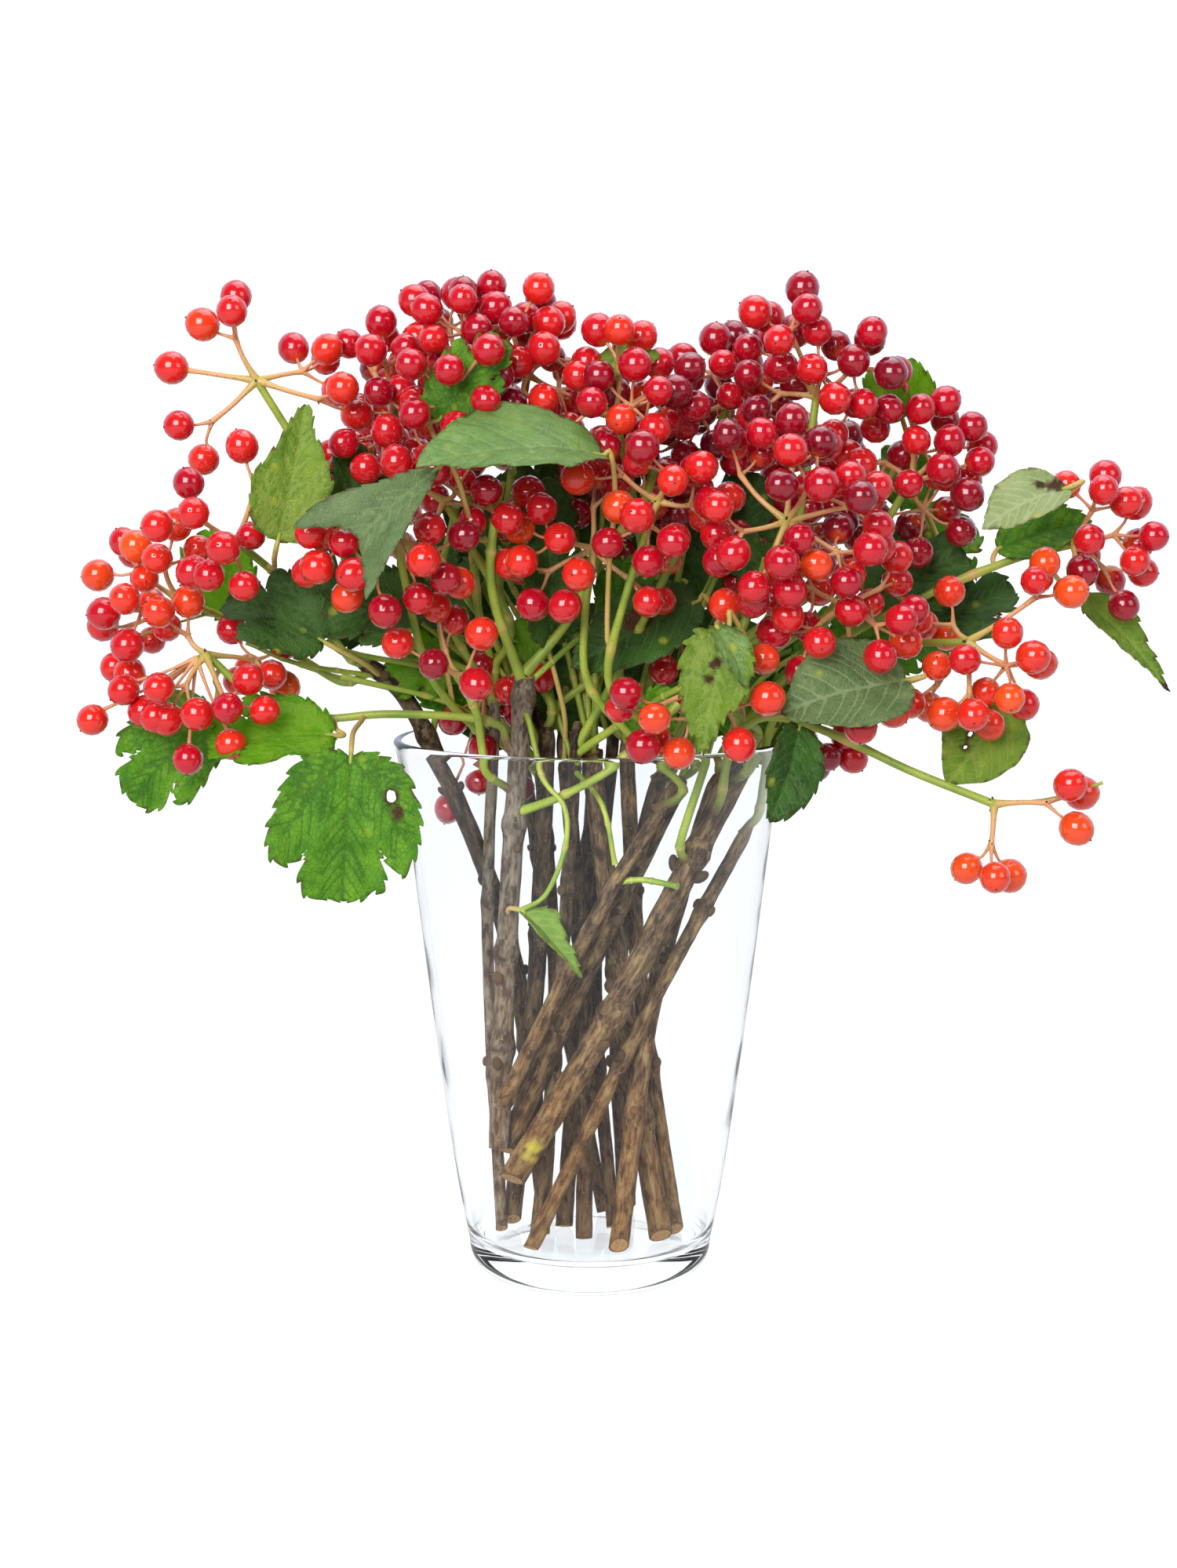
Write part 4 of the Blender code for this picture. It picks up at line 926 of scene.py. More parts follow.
@dataclass
class CaneBundle:
    """All the canes, with their knots, buds, cut ends and the buds' node tool."""

    sides: int = 20
    step: float = 2.0
    swell: float = 0.27
    knot_reach: float = 3.2
    ridge: float = 0.04
    fullness: float = 1.1
    end_reach: float = 6.0
    ring_reach: float = 1.1
    scrape_reach: float = 3.6
    crown_angle: float = 14.0
    crown_reach: float = 4.0
    lines: dict = field(default_factory=dict)
    FRONT = Vector((0.15, -1.0, 0.0))
    # How often each relief goes round, how many millimetres it runs along, and its seed's sign.
    RIPPLE, KNOB, GRAIN = (2.2, 14.0, 1), (1.1, 3.5, -1), (5, 6.0, 1)

    def centre_line(self, cane: Cane) -> list[Vector]:
        """A cane's line as its solid has it.

        Args:
            cane: the cane.

        Returns:
            Close points from the cut bottom to the top.
        """
        points = [Vector(p) for p in cane.line]
        if points[0].z < FLOOR_BORNE_BELOW:
            lean = (points[1] - points[0]).angle(Vector((0, 0, 1)))
            points[0].z = VASE_FLOOR + SEAT_GAP + cane.bottom_radius * sin(lean)
        return smooth_line(points, int(length_of(points) / self.step))

    def radius(self, cane: Cane, share: float, length: float) -> float:
        """A cane's mean radius, thicker at its knots and rounded off at its top.

        Args:
            cane: the cane.
            share: how far up it, from 0 to 1.
            length: its whole length.

        Returns:
            The radius in millimetres.
        """
        radius = self.fullness * (cane.bottom_radius + (cane.top_radius - cane.bottom_radius) * share)
        for knot in cane.knots:
            radius *= 1 + self.swell * exp(-((share - knot) * length / self.knot_reach) ** 2)
        left = (1 - share) * length
        if not cane.cut_top and left < self.end_reach:
            radius *= 0.62 + 0.38 * sin(left / self.end_reach * pi / 2)
        return radius

    def build(self, cane: Cane, bark: Material, wood: Material) -> Object:
        """Make one cane with bark relief and cut ends.

        Args:
            cane: the cane.
            bark: the bark's material.
            wood: the cut ends' material.

        Returns:
            The finished cane.
        """
        line = self.centre_line(cane)
        length = length_of(line)
        seed = name_seed(cane.name)
        mesh = bmesh.new()
        flat = mesh.loops.layers.uv.new("UVMap")
        knot_layer = mesh.verts.layers.float.new("knot")
        scrape_layer = mesh.verts.layers.float.new("scrape")
        direction = (line[1] - line[0]).normalized()
        axis = direction.orthogonal().normalized()
        travel, rings, places = 0.0, [], []
        for k, point in enumerate(line):
            ahead = (line[min(k + 1, len(line) - 1)] - line[max(k - 1, 0)]).normalized()
            axis = direction.rotation_difference(ahead) @ axis
            direction = ahead
            other = direction.cross(axis)
            travel += (point - line[k - 1]).length if k else 0.0
            share = travel / length
            base = self.radius(cane, share, length)
            dark = max(exp(-((share - knot) * length / self.ring_reach) ** 2) for knot in cane.knots)
            front = (self.FRONT - direction * self.FRONT.dot(direction)).normalized()
            tilt = tan(radians(cane.cut_tilt)) * max(0.0, 1 - travel / self.end_reach)
            left = max(0.0, 1 - (length - travel) / self.crown_reach)
            crown = tan(radians(self.crown_angle)) * left if cane.cut_top else 0.0
            scraped = exp(-((share - cane.scrape) * length / self.scrape_reach) ** 4) if cane.scrape else 0.0
            ring = []
            for j in range(self.sides):
                angle = 2 * pi * j / self.sides
                spoke = cos(angle) * axis + sin(angle) * other
                ripple, knob, grain = (
                    noise.noise(Vector((cos(angle) * often, sin(angle) * often,
                                        travel / reach + sign * seed)))
                    for often, reach, sign in (self.RIPPLE, self.KNOB, self.GRAIN))
                radius = base * (1 + self.ridge * (ripple * 1.5 + knob + grain * 0.7))
                facing = spoke.dot(front)
                slope = base * (tilt * (1 + facing) - crown * (1 + facing))
                vert = mesh.verts.new((point + spoke * radius + direction * slope) * MM)
                vert[knot_layer] = 0.85 * dark * (0.7 + 0.3 * cos(2 * angle + seed))
                vert[scrape_layer] = scraped * min(0.8, max(0.0, (facing - 0.72 + 0.3 * knob) * 6))
                ring.append(vert)
            rings.append(ring)
            places.append(travel)
        for k in range(len(rings) - 1):
            wide = 2 * pi * self.radius(cane, places[k] / length, length)
            for j, face in enumerate(bridge(mesh, rings[k], rings[k + 1])):
                for loop, (u, v) in zip(face.loops, ((j, k), (j + 1, k), (j + 1, k + 1), (j, k + 1))):
                    loop[flat].uv = (wide * u / self.sides + seed, places[v])
        self.cap(mesh, rings[0], -1.0)
        self.cap(mesh, rings[-1], 1.0)
        data = to_data(mesh, cane.name)
        data.set_sharp_from_angle(angle=0.9)
        self.lines[cane.name] = line
        return link_mesh("bark_" + cane.name, data, bark, wood)

    def cap(self, mesh: BMesh, ring: list, hand: float) -> None:
        """Close a cut end with a bark rim, a wood disc and a small pith dimple.

        Args:
            mesh: the cane's mesh.
            ring: the end's ring of vertices.
            hand: 1 at the top and -1 at the bottom.
        """
        middle = centre_of(ring)
        out = (ring[1].co - ring[0].co).cross(ring[2].co - ring[1].co).normalized() * hand
        last = ring
        for shrink, rise in ((0.84, 0.12), (0.4, 0.18), (0.14, -0.25)):
            inner = [mesh.verts.new(middle + (vert.co - middle) * shrink + out * rise * MM) for vert in ring]
            for face in bridge(mesh, last, inner):
                face.material_index = int(shrink < 0.8)
            last = inner
        mesh.faces.new(last).material_index = 1

    def knobs(self, bark: Material, scars: bool) -> Object:
        """Set a pointed bud or a flat round scar on each side of each knot.

        Args:
            bark: the material.
            scars: whether to set the scars rather than the buds.

        Returns:
            One piece with all of them.
        """
        points, ways, sizes = [], [], []
        draw = random.Random(5)
        for cane in (*CANES, *INNER_CANES):
            line = self.lines[cane.name]
            length = length_of(line)
            for knot in cane.knots:
                index = min(int(knot * (len(line) - 1)), len(line) - 2)
                axis = (line[index + 1] - line[index]).normalized()
                front = (self.FRONT - axis * self.FRONT.dot(axis)).normalized()
                turn, size = draw.uniform(-1.1, 1.1), draw.uniform(1.5, 2.4)
                reach = self.radius(cane, knot, length)
                is_scar = draw.random() < 0.55
                for hand in (1, -1):
                    out = Quaternion(axis, turn) @ front * hand
                    if is_scar != scars:
                        continue
                    points.append(line[index] + out * (reach * 0.97 if scars else reach + 0.1) + axis * 0.8)
                    ways.append(out if scars else (axis + out * 0.6).normalized())
                    sizes.append(size * (0.5 + 0.5 * reach / 3) * (0.42 if scars else 1.0) * MM)
        seed = seed_mesh("bud_scars" if scars else "cane_buds", points, [], way=ways, size=sizes)
        return BudTool.shared().run(seed, Sides=9, Slimness=2.0 if scars else 0.6, Material=bark)


# ---- sprays


@dataclass
class Berry:
    """One berry as its solid has it: centre, radius and direction from stalk to tip."""

    centre: Vector
    radius: float
    way: Vector
    fork: Vector


@dataclass
class Umbel:
    """One spray read back: its berries, its rays and its shoot's centre line."""

    name: str
    berries: list
    rays: list
    shoot: list
    girth: float = 1.0
    ripeness: float = 0.5


class UmbelReader:
    """Reads a packed spray solid back into berries, rays and a shoot."""

    BERRY_EDGE = 4.0
    EVEN = 0.06
    BERRY_FACES = 19

    def __init__(self, node: str) -> None:
        """Open a spray.

        Args:
            node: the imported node's name.
        """
        self.node = node
        self.mesh = welded(node)
        self.fork_depth = sqrt(FORK_RADIUS ** 2 - PEDICEL_RADIUS ** 2)
        self.hub_depth = sqrt(HUB_RADIUS ** 2 - RAY_RADIUS ** 2)

    def balls(self) -> list[set]:
        """The vertex sets of all the berries, found by their even faces.

        Returns:
            One set of vertices for each berry.
        """
        even = set()
        for face in self.mesh.faces:
            edges = [edge.calc_length() for edge in face.edges]
            if min(edges) > self.BERRY_EDGE and max(edges) - min(edges) < self.EVEN:
                even.add(face)
        groups = []
        for first in self.mesh.faces:
            if first not in even:
                continue
            even.discard(first)
            stack, group = [first], {first}
            while stack:
                for edge in stack.pop().edges:
                    for face in edge.link_faces:
                        if face in even:
                            even.discard(face)
                            group.add(face)
                            stack.append(face)
            if len(group) == self.BERRY_FACES:
                groups.append({vert for face in group for vert in face.verts})
        return groups

    def read(self) -> Umbel:
        """Follow each berry's stalk down to its fork, its hub and the shoot.

        Returns:
            The spray's parts, in millimetres.
        """
        seen = set()
        berries, forks, rays, hub_rings = [], {}, [], set()
        hub = None
        for ball in self.balls():
            centre = centre_of(ball)
            end = beyond(ball, seen)
            start = beyond(end, ball | seen)
            way = (centre - centre_of(end)).normalized()
            radius = (min(ball, key=lambda vert: vert.index).co - centre).length
            seen |= ball | end
            ring = sorted(start, key=lambda vert: vert.index)
            wide = (ring[0].co - ring[1].co).length
            if wide > LONE_RING_EDGE - 0.01:
                root = beyond(start, seen) if wide < LONE_RING_EDGE + 0.01 else start
                hub = centre_of(root) - way * self.hub_depth
                berries.append(Berry(centre, radius, way, centre))
                rays.append((hub, centre - way * radius * 0.9))
                seen |= start | root
                hub_rings |= root
                continue
            fork = centre_of(start) - way * self.fork_depth
            berries.append(Berry(centre, radius, way, fork))
            forks.setdefault(tuple(round(c, 1) for c in fork), (fork, set()))[1].update(start)
            seen |= start
        for fork, rings in self.joined(forks):
            inlet = beyond(rings, seen)
            root = beyond(inlet, seen | rings)
            out = (centre_of(inlet) - centre_of(root)).normalized()
            hub = centre_of(root) - out * self.hub_depth
            rays.append((hub, fork))
            seen |= inlet | root
            hub_rings |= root
        shoot = [hub, *walk(hub_rings, seen)]
        self.mesh.free()
        return Umbel(self.node, berries, rays, shoot)

    def joined(self, forks: dict) -> list[tuple[Vector, set]]:
        """Forks whose rounded places differ by a rounding step only are one fork.

        Args:
            forks: rounded place to the fork's place and its ring vertices.

        Returns:
            Each fork's place and ring vertices.
        """
        merged = []
        for place, rings in forks.values():
            known = next((other for other in merged if (other[0] - place).length < 0.3), None)
            if known:
                known[1].update(rings)
            else:
                merged.append((place, set(rings)))
        return merged


@dataclass(frozen=True)
class SprayLook:
    """How ripe a spray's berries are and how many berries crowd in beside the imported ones."""

    ripeness: float
    more: int


SPRAY_LOOKS = {"spray_" + name: SprayLook(ripeness, more) for name, ripeness, more in (
    ("back_left", 0.7, 10), ("back_right", 0.7, 10), ("centre", 0.5, 5), ("centre_low", 0.45, 3),
    ("centre_top", 0.66, 11), ("far_left", 0.42, 4), ("far_right", 0.62, 4), ("left_front", 0.45, 4),
    ("low_left", 0.46, 5), ("low_right", 0.22, 0), ("mid_left", 0.5, 4), ("mid_left_low", 0.55, 3),
    ("right_back", 0.8, 12), ("right_low", 0.55, 7), ("right_main", 0.74, 9), ("right_orange", 0.24, 8),
    ("right_up", 0.72, 9), ("rim_front", 0.36, 3), ("rim_left", 0.55, 0), ("top_left", 0.66, 12),
    ("top_mid", 0.62, 12), ("top_mid_left", 0.74, 11), ("top_right", 0.7, 11), ("upper_left", 0.38, 1))}


class Crowd:
    """Where there is room for more growth, and where it can start."""

    CANE_ROOM = 3.2
    SHOOT_ROOM = 1.6
    LEAF_ROOM = 2.2
    STALK_ROOM = 1.0
    TOP = 333.0
    REACH = (-168.0, 191.0)
    # A crowded-in berry's radius, its stalk's length, and how often a place for it is tried.
    BERRY_RADII = (4.6, 5.3)
    STALK_LENGTHS = (10.5, 15.0)
    TRIES = 80

    def __init__(self) -> None:
        """Start empty."""
        self.places, self.radii, self.anchors = [], [], []

    def block(self, points: Iterable[Vector], radius: float) -> None:
        """Take up room round some points.

        Args:
            points: places in millimetres.
            radius: the room that each takes.
        """
        for point in points:
            self.places.append(tuple(point))
            self.radii.append(radius)

    def is_clear(self, place: Vector, radius: float) -> bool:
        """Whether a ball would touch nothing.

        Args:
            place: its centre.
            radius: its radius.

        Returns:
            True when there is room.
        """
        if place.z + radius > self.TOP or not self.REACH[0] < place.x < self.REACH[1]:
            return False
        gaps = np.linalg.norm(np.array(self.places) - np.array(place), axis=1)
        return bool((gaps - np.array(self.radii) > radius).all())

    def anchor(self, point: Vector, lower: float = 4.0) -> Vector:
        """The nearest point of a cane or shoot that lies lower.

        Args:
            point: where the growth reaches.
            lower: how far below it the start must lie.

        Returns:
            The start.
        """
        below = [a for a in self.anchors if a.z < point.z - lower]
        return min(below, key=lambda a: (a - point).length)

    def crowd_in(self, umbel: Umbel, count: int) -> None:
        """Add berries to a spray's forks where there is room.

        Args:
            umbel: the spray.
            count: how many to add.
        """
        draw = random.Random(umbel.name + "more")
        forks = [ray[-1] for ray in umbel.rays]
        hub = umbel.rays[0][0]
        for _ in range(count):
            for _ in range(self.TRIES):
                fork = draw.choice(forks)
                way = any_way(draw)
                way = (way + (fork - hub).normalized() * 0.55).normalized()
                radius = draw.uniform(*self.BERRY_RADII)
                place = fork + way * draw.uniform(*self.STALK_LENGTHS)
                if self.is_clear(place, radius):
                    umbel.berries.append(Berry(place, radius, way, fork))
                    self.block([place], radius)
                    break


class Line:
    """Stalk lines gathered for the stalk tool: points with a girth and a blush."""

    def __init__(self) -> None:
        """Start with no lines."""
        self.points, self.edges, self.girths, self.blushes, self.barks = [], [], [], [], []

    def add(self, line: Sequence[Vector], girths: Sequence[float], blushes: Sequence[float],
            bark: float = 0.0) -> None:
        """Add one line.

        Args:
            line: its points, in millimetres.
            girths: radii spread evenly along it, in millimetres.
            blushes: blushes spread evenly along it, from 0, green, to 1, tan.
            bark: how woody its foot is.
        """
        first = len(self.points)
        shares = np.linspace(0, 1, len(line))
        self.points += line
        self.girths += [g * MM for g in np.interp(shares, np.linspace(0, 1, len(girths)), girths)]
        self.blushes += list(np.interp(shares, np.linspace(0, 1, len(blushes)), blushes))
        self.barks += [bark * min(1.0, exp(-(share - 0.1) / 0.1)) for share in shares]
        self.edges += [(first + k, first + k + 1) for k in range(len(line) - 1)]

    def grow(self, name: str, sides: int, skin: Material) -> Object:
        """Run the stalk tool on all the lines.

        Args:
            name: the piece's name.
            sides: the sides of each stalk.
            skin: the stalks' material.

        Returns:
            The finished piece.
        """
        seed = seed_mesh(name, self.points, self.edges, girth=self.girths, blush=self.blushes,
                         woody=self.barks)
        return StalkTool.shared().run(seed, Sides=sides, Material=skin)


# Side shoots, stubs and tendrils: radius, then points in millimetres.
SIDE_SHOOTS = (
    (1.5, (-29, -27, 200), (-31, -38, 232), (-28, -42, 264)),
    (1.45, (-19, -22, 203), (-7, -24, 220), (3, -28, 240), (16, -34, 256), (20, -38, 268)),
    (1.0, (-17, -15, 200), (-7, -18, 211), (10, -12, 225)),
    (1.2, (-32, -8, 194), (-48, -14, 225), (-43, -20, 256)),
    (1.1, (-34, -10, 199), (-54, -16, 210), (-69, -20, 217)),
    (1.2, (5, -20, 177), (19, -26, 193), (34, -36, 202)),
    (1.3, (2, -10, 178), (10, -20, 205), (27, -40, 242)),
    (1.4, (33, -15, 176), (44, -30, 206), (55, -45, 240)),
    (1.3, (28, 0, 175), (38, 0, 201), (65, 5, 216)),
    (1.3, (-14, 5, 177), (-3, 15, 207), (13, 20, 241)),
    (1.3, (18, 10, 176), (26, 20, 215), (34, 25, 255)),
    (1.1, (-43, 10, 184), (-50, 10, 200), (-66, 5, 213)),
    (1.3, (-17, 20, 175), (-27, 25, 209), (-41, 28, 241)),
    (0.8, (-70, -4, 200), (-95, -10, 205), (-112, -10, 212)),
    (0.7, (-66, -2, 196), (-88, 2, 201), (-108, 6, 208)),
    (0.85, (-20, -27, 189), (-15, -34, 171), (-8, -36, 161), (-8, -36, 148), (-14, -34, 133),
         (-22, -30, 127)),
    (0.85, (7, -26, 173), (4, -31, 161), (8, -30, 142)),
    (1.0, (17, -24, 136), (28, -31, 135)),
    (1.35, (-22, -22, 158), (-8, -32, 165), (10, -38, 177), (28, -34, 194)),
    (0.5, (122, -57, 166), (138, -58, 166), (150, -59, 169), (158, -60, 172)),
    (0.4, (-136, -12, 222), (-146, -14, 214), (-150, -15, 203)),
)


@dataclass(frozen=True)
class Bunch:
    """A few berries on one fork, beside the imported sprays, in millimetres."""

    name: str
    fork: tuple
    ripeness: float
    centres: tuple


BUNCHES = (
    Bunch("bunch_in_vase", (-35, 2, 197), 0.6, ((-48, 8, 155), (-37, 6, 165), (-45, -6, 186), (-35, -10, 177),
                                                (-23, -2, 164), (-27, 0, 191))),
    Bunch("bunch_low_left", (-126, -26, 208), 0.5, ((-160, -24, 188), (-127, -40, 177), (-113, -42, 182),
                                                    (-138, -34, 190), (-149, -28, 198))),
    Bunch("bunch_behind_rim", (68, 14, 190), 0.8, ((72, 14, 177), (80, 12, 172), (86, 14, 179), (77, 20, 168),
                                                   (89, 18, 171), (65, 20, 180))),
    Bunch("bunch_top_left", (-44, -36, 290), 0.68, ((-54, -48, 285), (-43, -52, 298), (-41, -50, 281),
                                                    (-31, -52, 304), (-32, -50, 289), (-55, -46, 300))),
    Bunch("bunch_neck_left", (-22, 2, 212), 0.7,
         ((-27, -8, 196), (-16, -6, 200), (-36, -4, 204), (-24, 0, 188))),
    Bunch("bunch_neck_right", (30, -2, 214), 0.66, ((24, -10, 203), (36, -12, 206), (30, -6, 193))),
)


# Forks of the ripe bunches at the back of the arrangement.
DEEP_FORKS = ((-8, 20, 262), (14, 26, 248), (36, 20, 256), (54, 22, 238), (28, 14, 276), (6, 16, 286),
              (74, 16, 250), (-28, 22, 280), (58, 16, 282), (86, 12, 264), (-52, 16, 268), (18, 4, 262))


@dataclass
class Sprays:
    """All the green shoots with their umbels of berries."""

    shoot_radius: float = 1.34
    ray_radius: float = 0.8
    pedicel_radius: float = 0.46
    seat_depth: float = 4.0
    deep_berries: int = 7
    deep_radius: float = 5.0
    deep_tries: int = 160

    def shoot_line(self, lines: Line, points: Sequence[Vector], radius: float, draw: random.Random,
                   bark: float = 0.0) -> None:
        """Add a shoot with ringed nodes, wider at its foot and under its hub.

        Args:
            lines: the lines that take it.
            points: its path.
            radius: its radius between nodes.
            draw: the random draws.
            bark: how woody its foot is.
        """
        steps = 44
        nodes = [int(steps * (share + draw.uniform(-0.04, 0.04))) for share in (0.32, 0.66)]
        girths, blushes = [], []
        for k in range(steps + 1):
            near = max(exp(-((k - node) / 0.9) ** 2) for node in nodes)
            foot = exp(-k / 2.5)
            head = exp(-(steps - k) / 2.0)
            girths.append(radius * (1.08 - 0.16 * k / steps + 0.3 * near + 0.45 * foot + 0.3 * head))
            blushes.append(0.3 * near ** 3 + 0.12 * head)
        lines.add(smooth_line(points, steps), girths, blushes, bark)

    def sheaf(self, crowd: Crowd, skin: Material, count: int = 34) -> Object:
        """Make the close fan of thin straight shoots between the cane tops and the sprays.

        Args:
            crowd: the canes that they grow from.
            skin: the stalks' material.
            count: how many to make.

        Returns:
            One piece with all of them.
        """
        draw = random.Random(23)
        lines = Line()
        for k in range(count):
            share = (k + 0.5) / count * 2 - 1
            low = Vector((8 + 36 * share, draw.uniform(-14, 24), draw.uniform(166, 182)))
            root = crowd.anchor(low, 0.0)
            top = Vector((4 + 92 * share + draw.uniform(-8, 8), draw.uniform(-16, 30),
                          250 - 42 * abs(share) ** 1.5 + draw.uniform(-14, 8)))
            middle = root.lerp(top, 0.5) + Vector((-6 * share, draw.uniform(-3, 3), 5))
            self.shoot_line(lines, [root, middle, top], draw.uniform(0.75, 1.15), draw)
        return lines.grow("sheaf_of_shoots", 8, skin)

    def bunch(self, bunch: Bunch, crowd: Crowd) -> Umbel:
        """Grow a small bunch from the nearest shoot.

        Args:
            bunch: its places.
            crowd: the canes and shoots.

        Returns:
            The bunch as a small umbel.
        """
        fork = Vector(bunch.fork)
        root = crowd.anchor(fork, 2.0)
        draw = random.Random(bunch.name)
        berries = []
        for place in map(Vector, bunch.centres):
            way = ((place - fork).normalized() + Vector((0, -0.2, -0.3))).normalized()
            berries.append(Berry(place, draw.uniform(4.7, 5.3), way, fork))
        return Umbel(bunch.name, berries, [], [fork, fork.lerp(root, 0.5) + Vector((0, 0, 1.5)), root], 0.62,
                     bunch.ripeness)

    def deep_bunch(self, fork: Vector, crowd: Crowd) -> Bunch:
        """Find room round a fork for a few ripe berries.

        Args:
            fork: where the berries' stalks meet.
            crowd: what is already there.

        Returns:
            The bunch.
        """
        draw = random.Random(f"{fork}")
        centres = []
        for _ in range(self.deep_tries):
            way = any_way(draw, 0.2)
            place = fork + way * draw.uniform(9.5, 15.0)
            if len(centres) < self.deep_berries and crowd.is_clear(place, self.deep_radius):
                centres.append(tuple(place))
                crowd.block([place], self.deep_radius)
        return Bunch("deep_bunch_%d_%d" % (fork.x, fork.z), tuple(fork), 0.8, tuple(centres))

    def side_shoots(self, crowd: Crowd, skin: Material) -> Object:
        """Make the leafy shoots, stubs and tendrils that carry no packed berries.

        Args:
            crowd: the canes and shoots that they grow from.
            skin: the stalks' material.

        Returns:
            One piece with all of them.
        """
        draw = random.Random(11)
        lines = Line()
        for radius, *points in SIDE_SHOOTS:
            path = [Vector(p) for p in points]
            root = crowd.anchor(path[0], 0.0)
            if (root - path[0]).length < (20.0 if len(path) == 3 else 4.0):
                path[0] = root
            else:
                path.insert(0, root)
            self.shoot_line(lines, path, radius, draw)
            crowd.anchors += smooth_line(path, 14)[3:]
        return lines.grow("side_shoots", 10, skin)

    def bracts(self, umbels: Sequence[Umbel], skin: Material) -> Object:
        """Set dry bracts round the hubs and forks.

        Args:
            umbels: the sprays.
            skin: the bracts' material.

        Returns:
            One piece with all the bracts.
        """
        draw = random.Random(3)
        points, ways, sizes = [], [], []
        for umbel in umbels:
            hub = umbel.rays[0][0]
            spots = [(hub, 1.3, 5)] + [(ray[-1], 0.75, 2) for ray in umbel.rays if len(ray) == 2]
            for place, reach, count in spots:
                for _ in range(count):
                    way = any_way(draw)
                    points.append(place + way * reach)
                    ways.append(way)
                    sizes.append(draw.uniform(0.9, 1.7) * MM * (reach + 0.4) / 1.7)
        seed = seed_mesh("dry_bracts", points, [], way=ways, size=sizes)
        return BudTool.shared().run(seed, Sides=5, Slimness=0.32, Material=skin)

    def stalks(self, umbel: Umbel, skin: Material) -> Object:
        """Make a spray's shoot, rays and pedicels.

        Args:
            umbel: the spray.
            skin: the stalks' material.

        Returns:
            The finished stalks.
        """
        draw = random.Random(umbel.name)
        lines = Line()
        shoot = umbel.shoot[::-1]
        seat = shoot[0] + (shoot[0] - shoot[1]).normalized() * self.seat_depth
        self.shoot_line(lines, [seat, *shoot], self.shoot_radius * umbel.girth, draw,
                        min(1.0, max(0.0, (205 - seat.z) / 20)))
        for ray in umbel.rays:
            aside = sway(draw, 0.4, 0.9)
            lines.add(smooth_line([ray[0], ray[0].lerp(ray[-1], 0.55) + aside, ray[-1]], 10),
                      [self.ray_radius * share for share in (1.9, 1.1, 1.0, 0.95, 1.25)], [0.25, 0.55, 0.6])
        for berry in umbel.berries:
            if (berry.fork - berry.centre).length > 1.0:
                aside = sway(draw, 0.2, 0.8)
                middle = berry.fork.lerp(berry.centre, 0.45)
                ring = berry.centre - berry.way * berry.radius * 0.9
                lines.add(smooth_line([berry.fork, middle + aside, ring], 6),
                          [self.pedicel_radius * share for share in (2.1, 1.1, 1.0, 1.0, 1.5)],
                          [0.6, 0.8, draw.uniform(0.75, 1.0)])
        return lines.grow("stalks_" + umbel.name, 10, skin)

    def berries(self, umbel: Umbel, skin: Material) -> Object:
        """Set a spray's berries.

        Args:
            umbel: the spray.
            skin: the berries' material.

        Returns:
            One piece with all the spray's berries.
        """
        draw = random.Random(umbel.name + "berries")
        mean = umbel.ripeness if umbel.name not in SPRAY_LOOKS else SPRAY_LOOKS[umbel.name].ripeness
        ripe = [min(0.98, max(0.02, draw.gauss(mean, 0.19))) for _ in umbel.berries]
        seed = seed_mesh("berries_" + umbel.name, [b.centre for b in umbel.berries], [],
                         way=[b.way for b in umbel.berries], size=[b.radius * MM for b in umbel.berries],
                         ripe=ripe)
        return BerryTool.shared().run(seed, Segments=12, Rings=8, Tip_Rise=0.035, Scar_Radius=0.085, Seed=7,
                                      Material=skin)


# ---- leaves


class Outline(Enum):
    """Half outlines as shares of length and half width, from the stalk to the tip."""

    LOBED = ((0.0, 0.04), (-0.02, 0.2), (0.03, 0.5), (0.12, 0.76), (0.27, 0.9), (0.42, 0.97), (0.55, 1.02),
             (0.66, 1.0), (0.74, 0.84), (0.7, 0.66), (0.64, 0.5), (0.72, 0.53), (0.84, 0.58), (0.93, 0.44),
             (0.98, 0.2), (1.0, 0.0))
    OVAL = ((0.0, 0.03), (0.02, 0.28), (0.1, 0.58), (0.25, 0.86), (0.42, 0.98), (0.6, 0.9), (0.76, 0.66),
            (0.9, 0.32), (1.0, 0.0))
    SPLIT = ((0.0, 0.03), (0.12, 0.2), (0.4, 0.5), (0.7, 0.8), (0.92, 0.98), (1.06, 1.02), (0.98, 0.75),
             (0.86, 0.4), (0.82, 0.0))
    EGG = ((0.0, 0.03), (0.02, 0.34), (0.1, 0.68), (0.24, 0.9), (0.4, 0.92), (0.54, 0.76), (0.68, 0.54),
           (0.82, 0.3), (0.93, 0.12), (1.0, 0.0))
    LANCE = ((0.0, 0.03), (0.06, 0.4), (0.16, 0.8), (0.3, 1.0), (0.46, 0.86), (0.62, 0.6), (0.8, 0.3),
             (1.0, 0.0))


LOBED, OVAL, SPLIT, EGG, LANCE = Outline
FRESH, BRIGHT, DARK, GREY, OLIVE, SAGE, REVERSE, PALE = Foliage


@dataclass(frozen=True)
class Leaf:
    """A blade from base to tip with the side its face looks to, as its solid has it, in millimetres."""

    name: str
    base: tuple
    tip: tuple
    face: tuple
    width: float
    outline: Outline = LOBED
    teeth: float = 1.0
    droop: float = 30.0
    fold: float = 14.0
    twist: float = 0.0
    look: Foliage = FRESH
    blights: tuple = ()
    holes: tuple = ()
    crinkle: float = 1.0
    slim: float = 1.0

    @property
    def lobed(self) -> bool:
        """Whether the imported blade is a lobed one."""
        return self.outline in (LOBED, SPLIT, EGG)


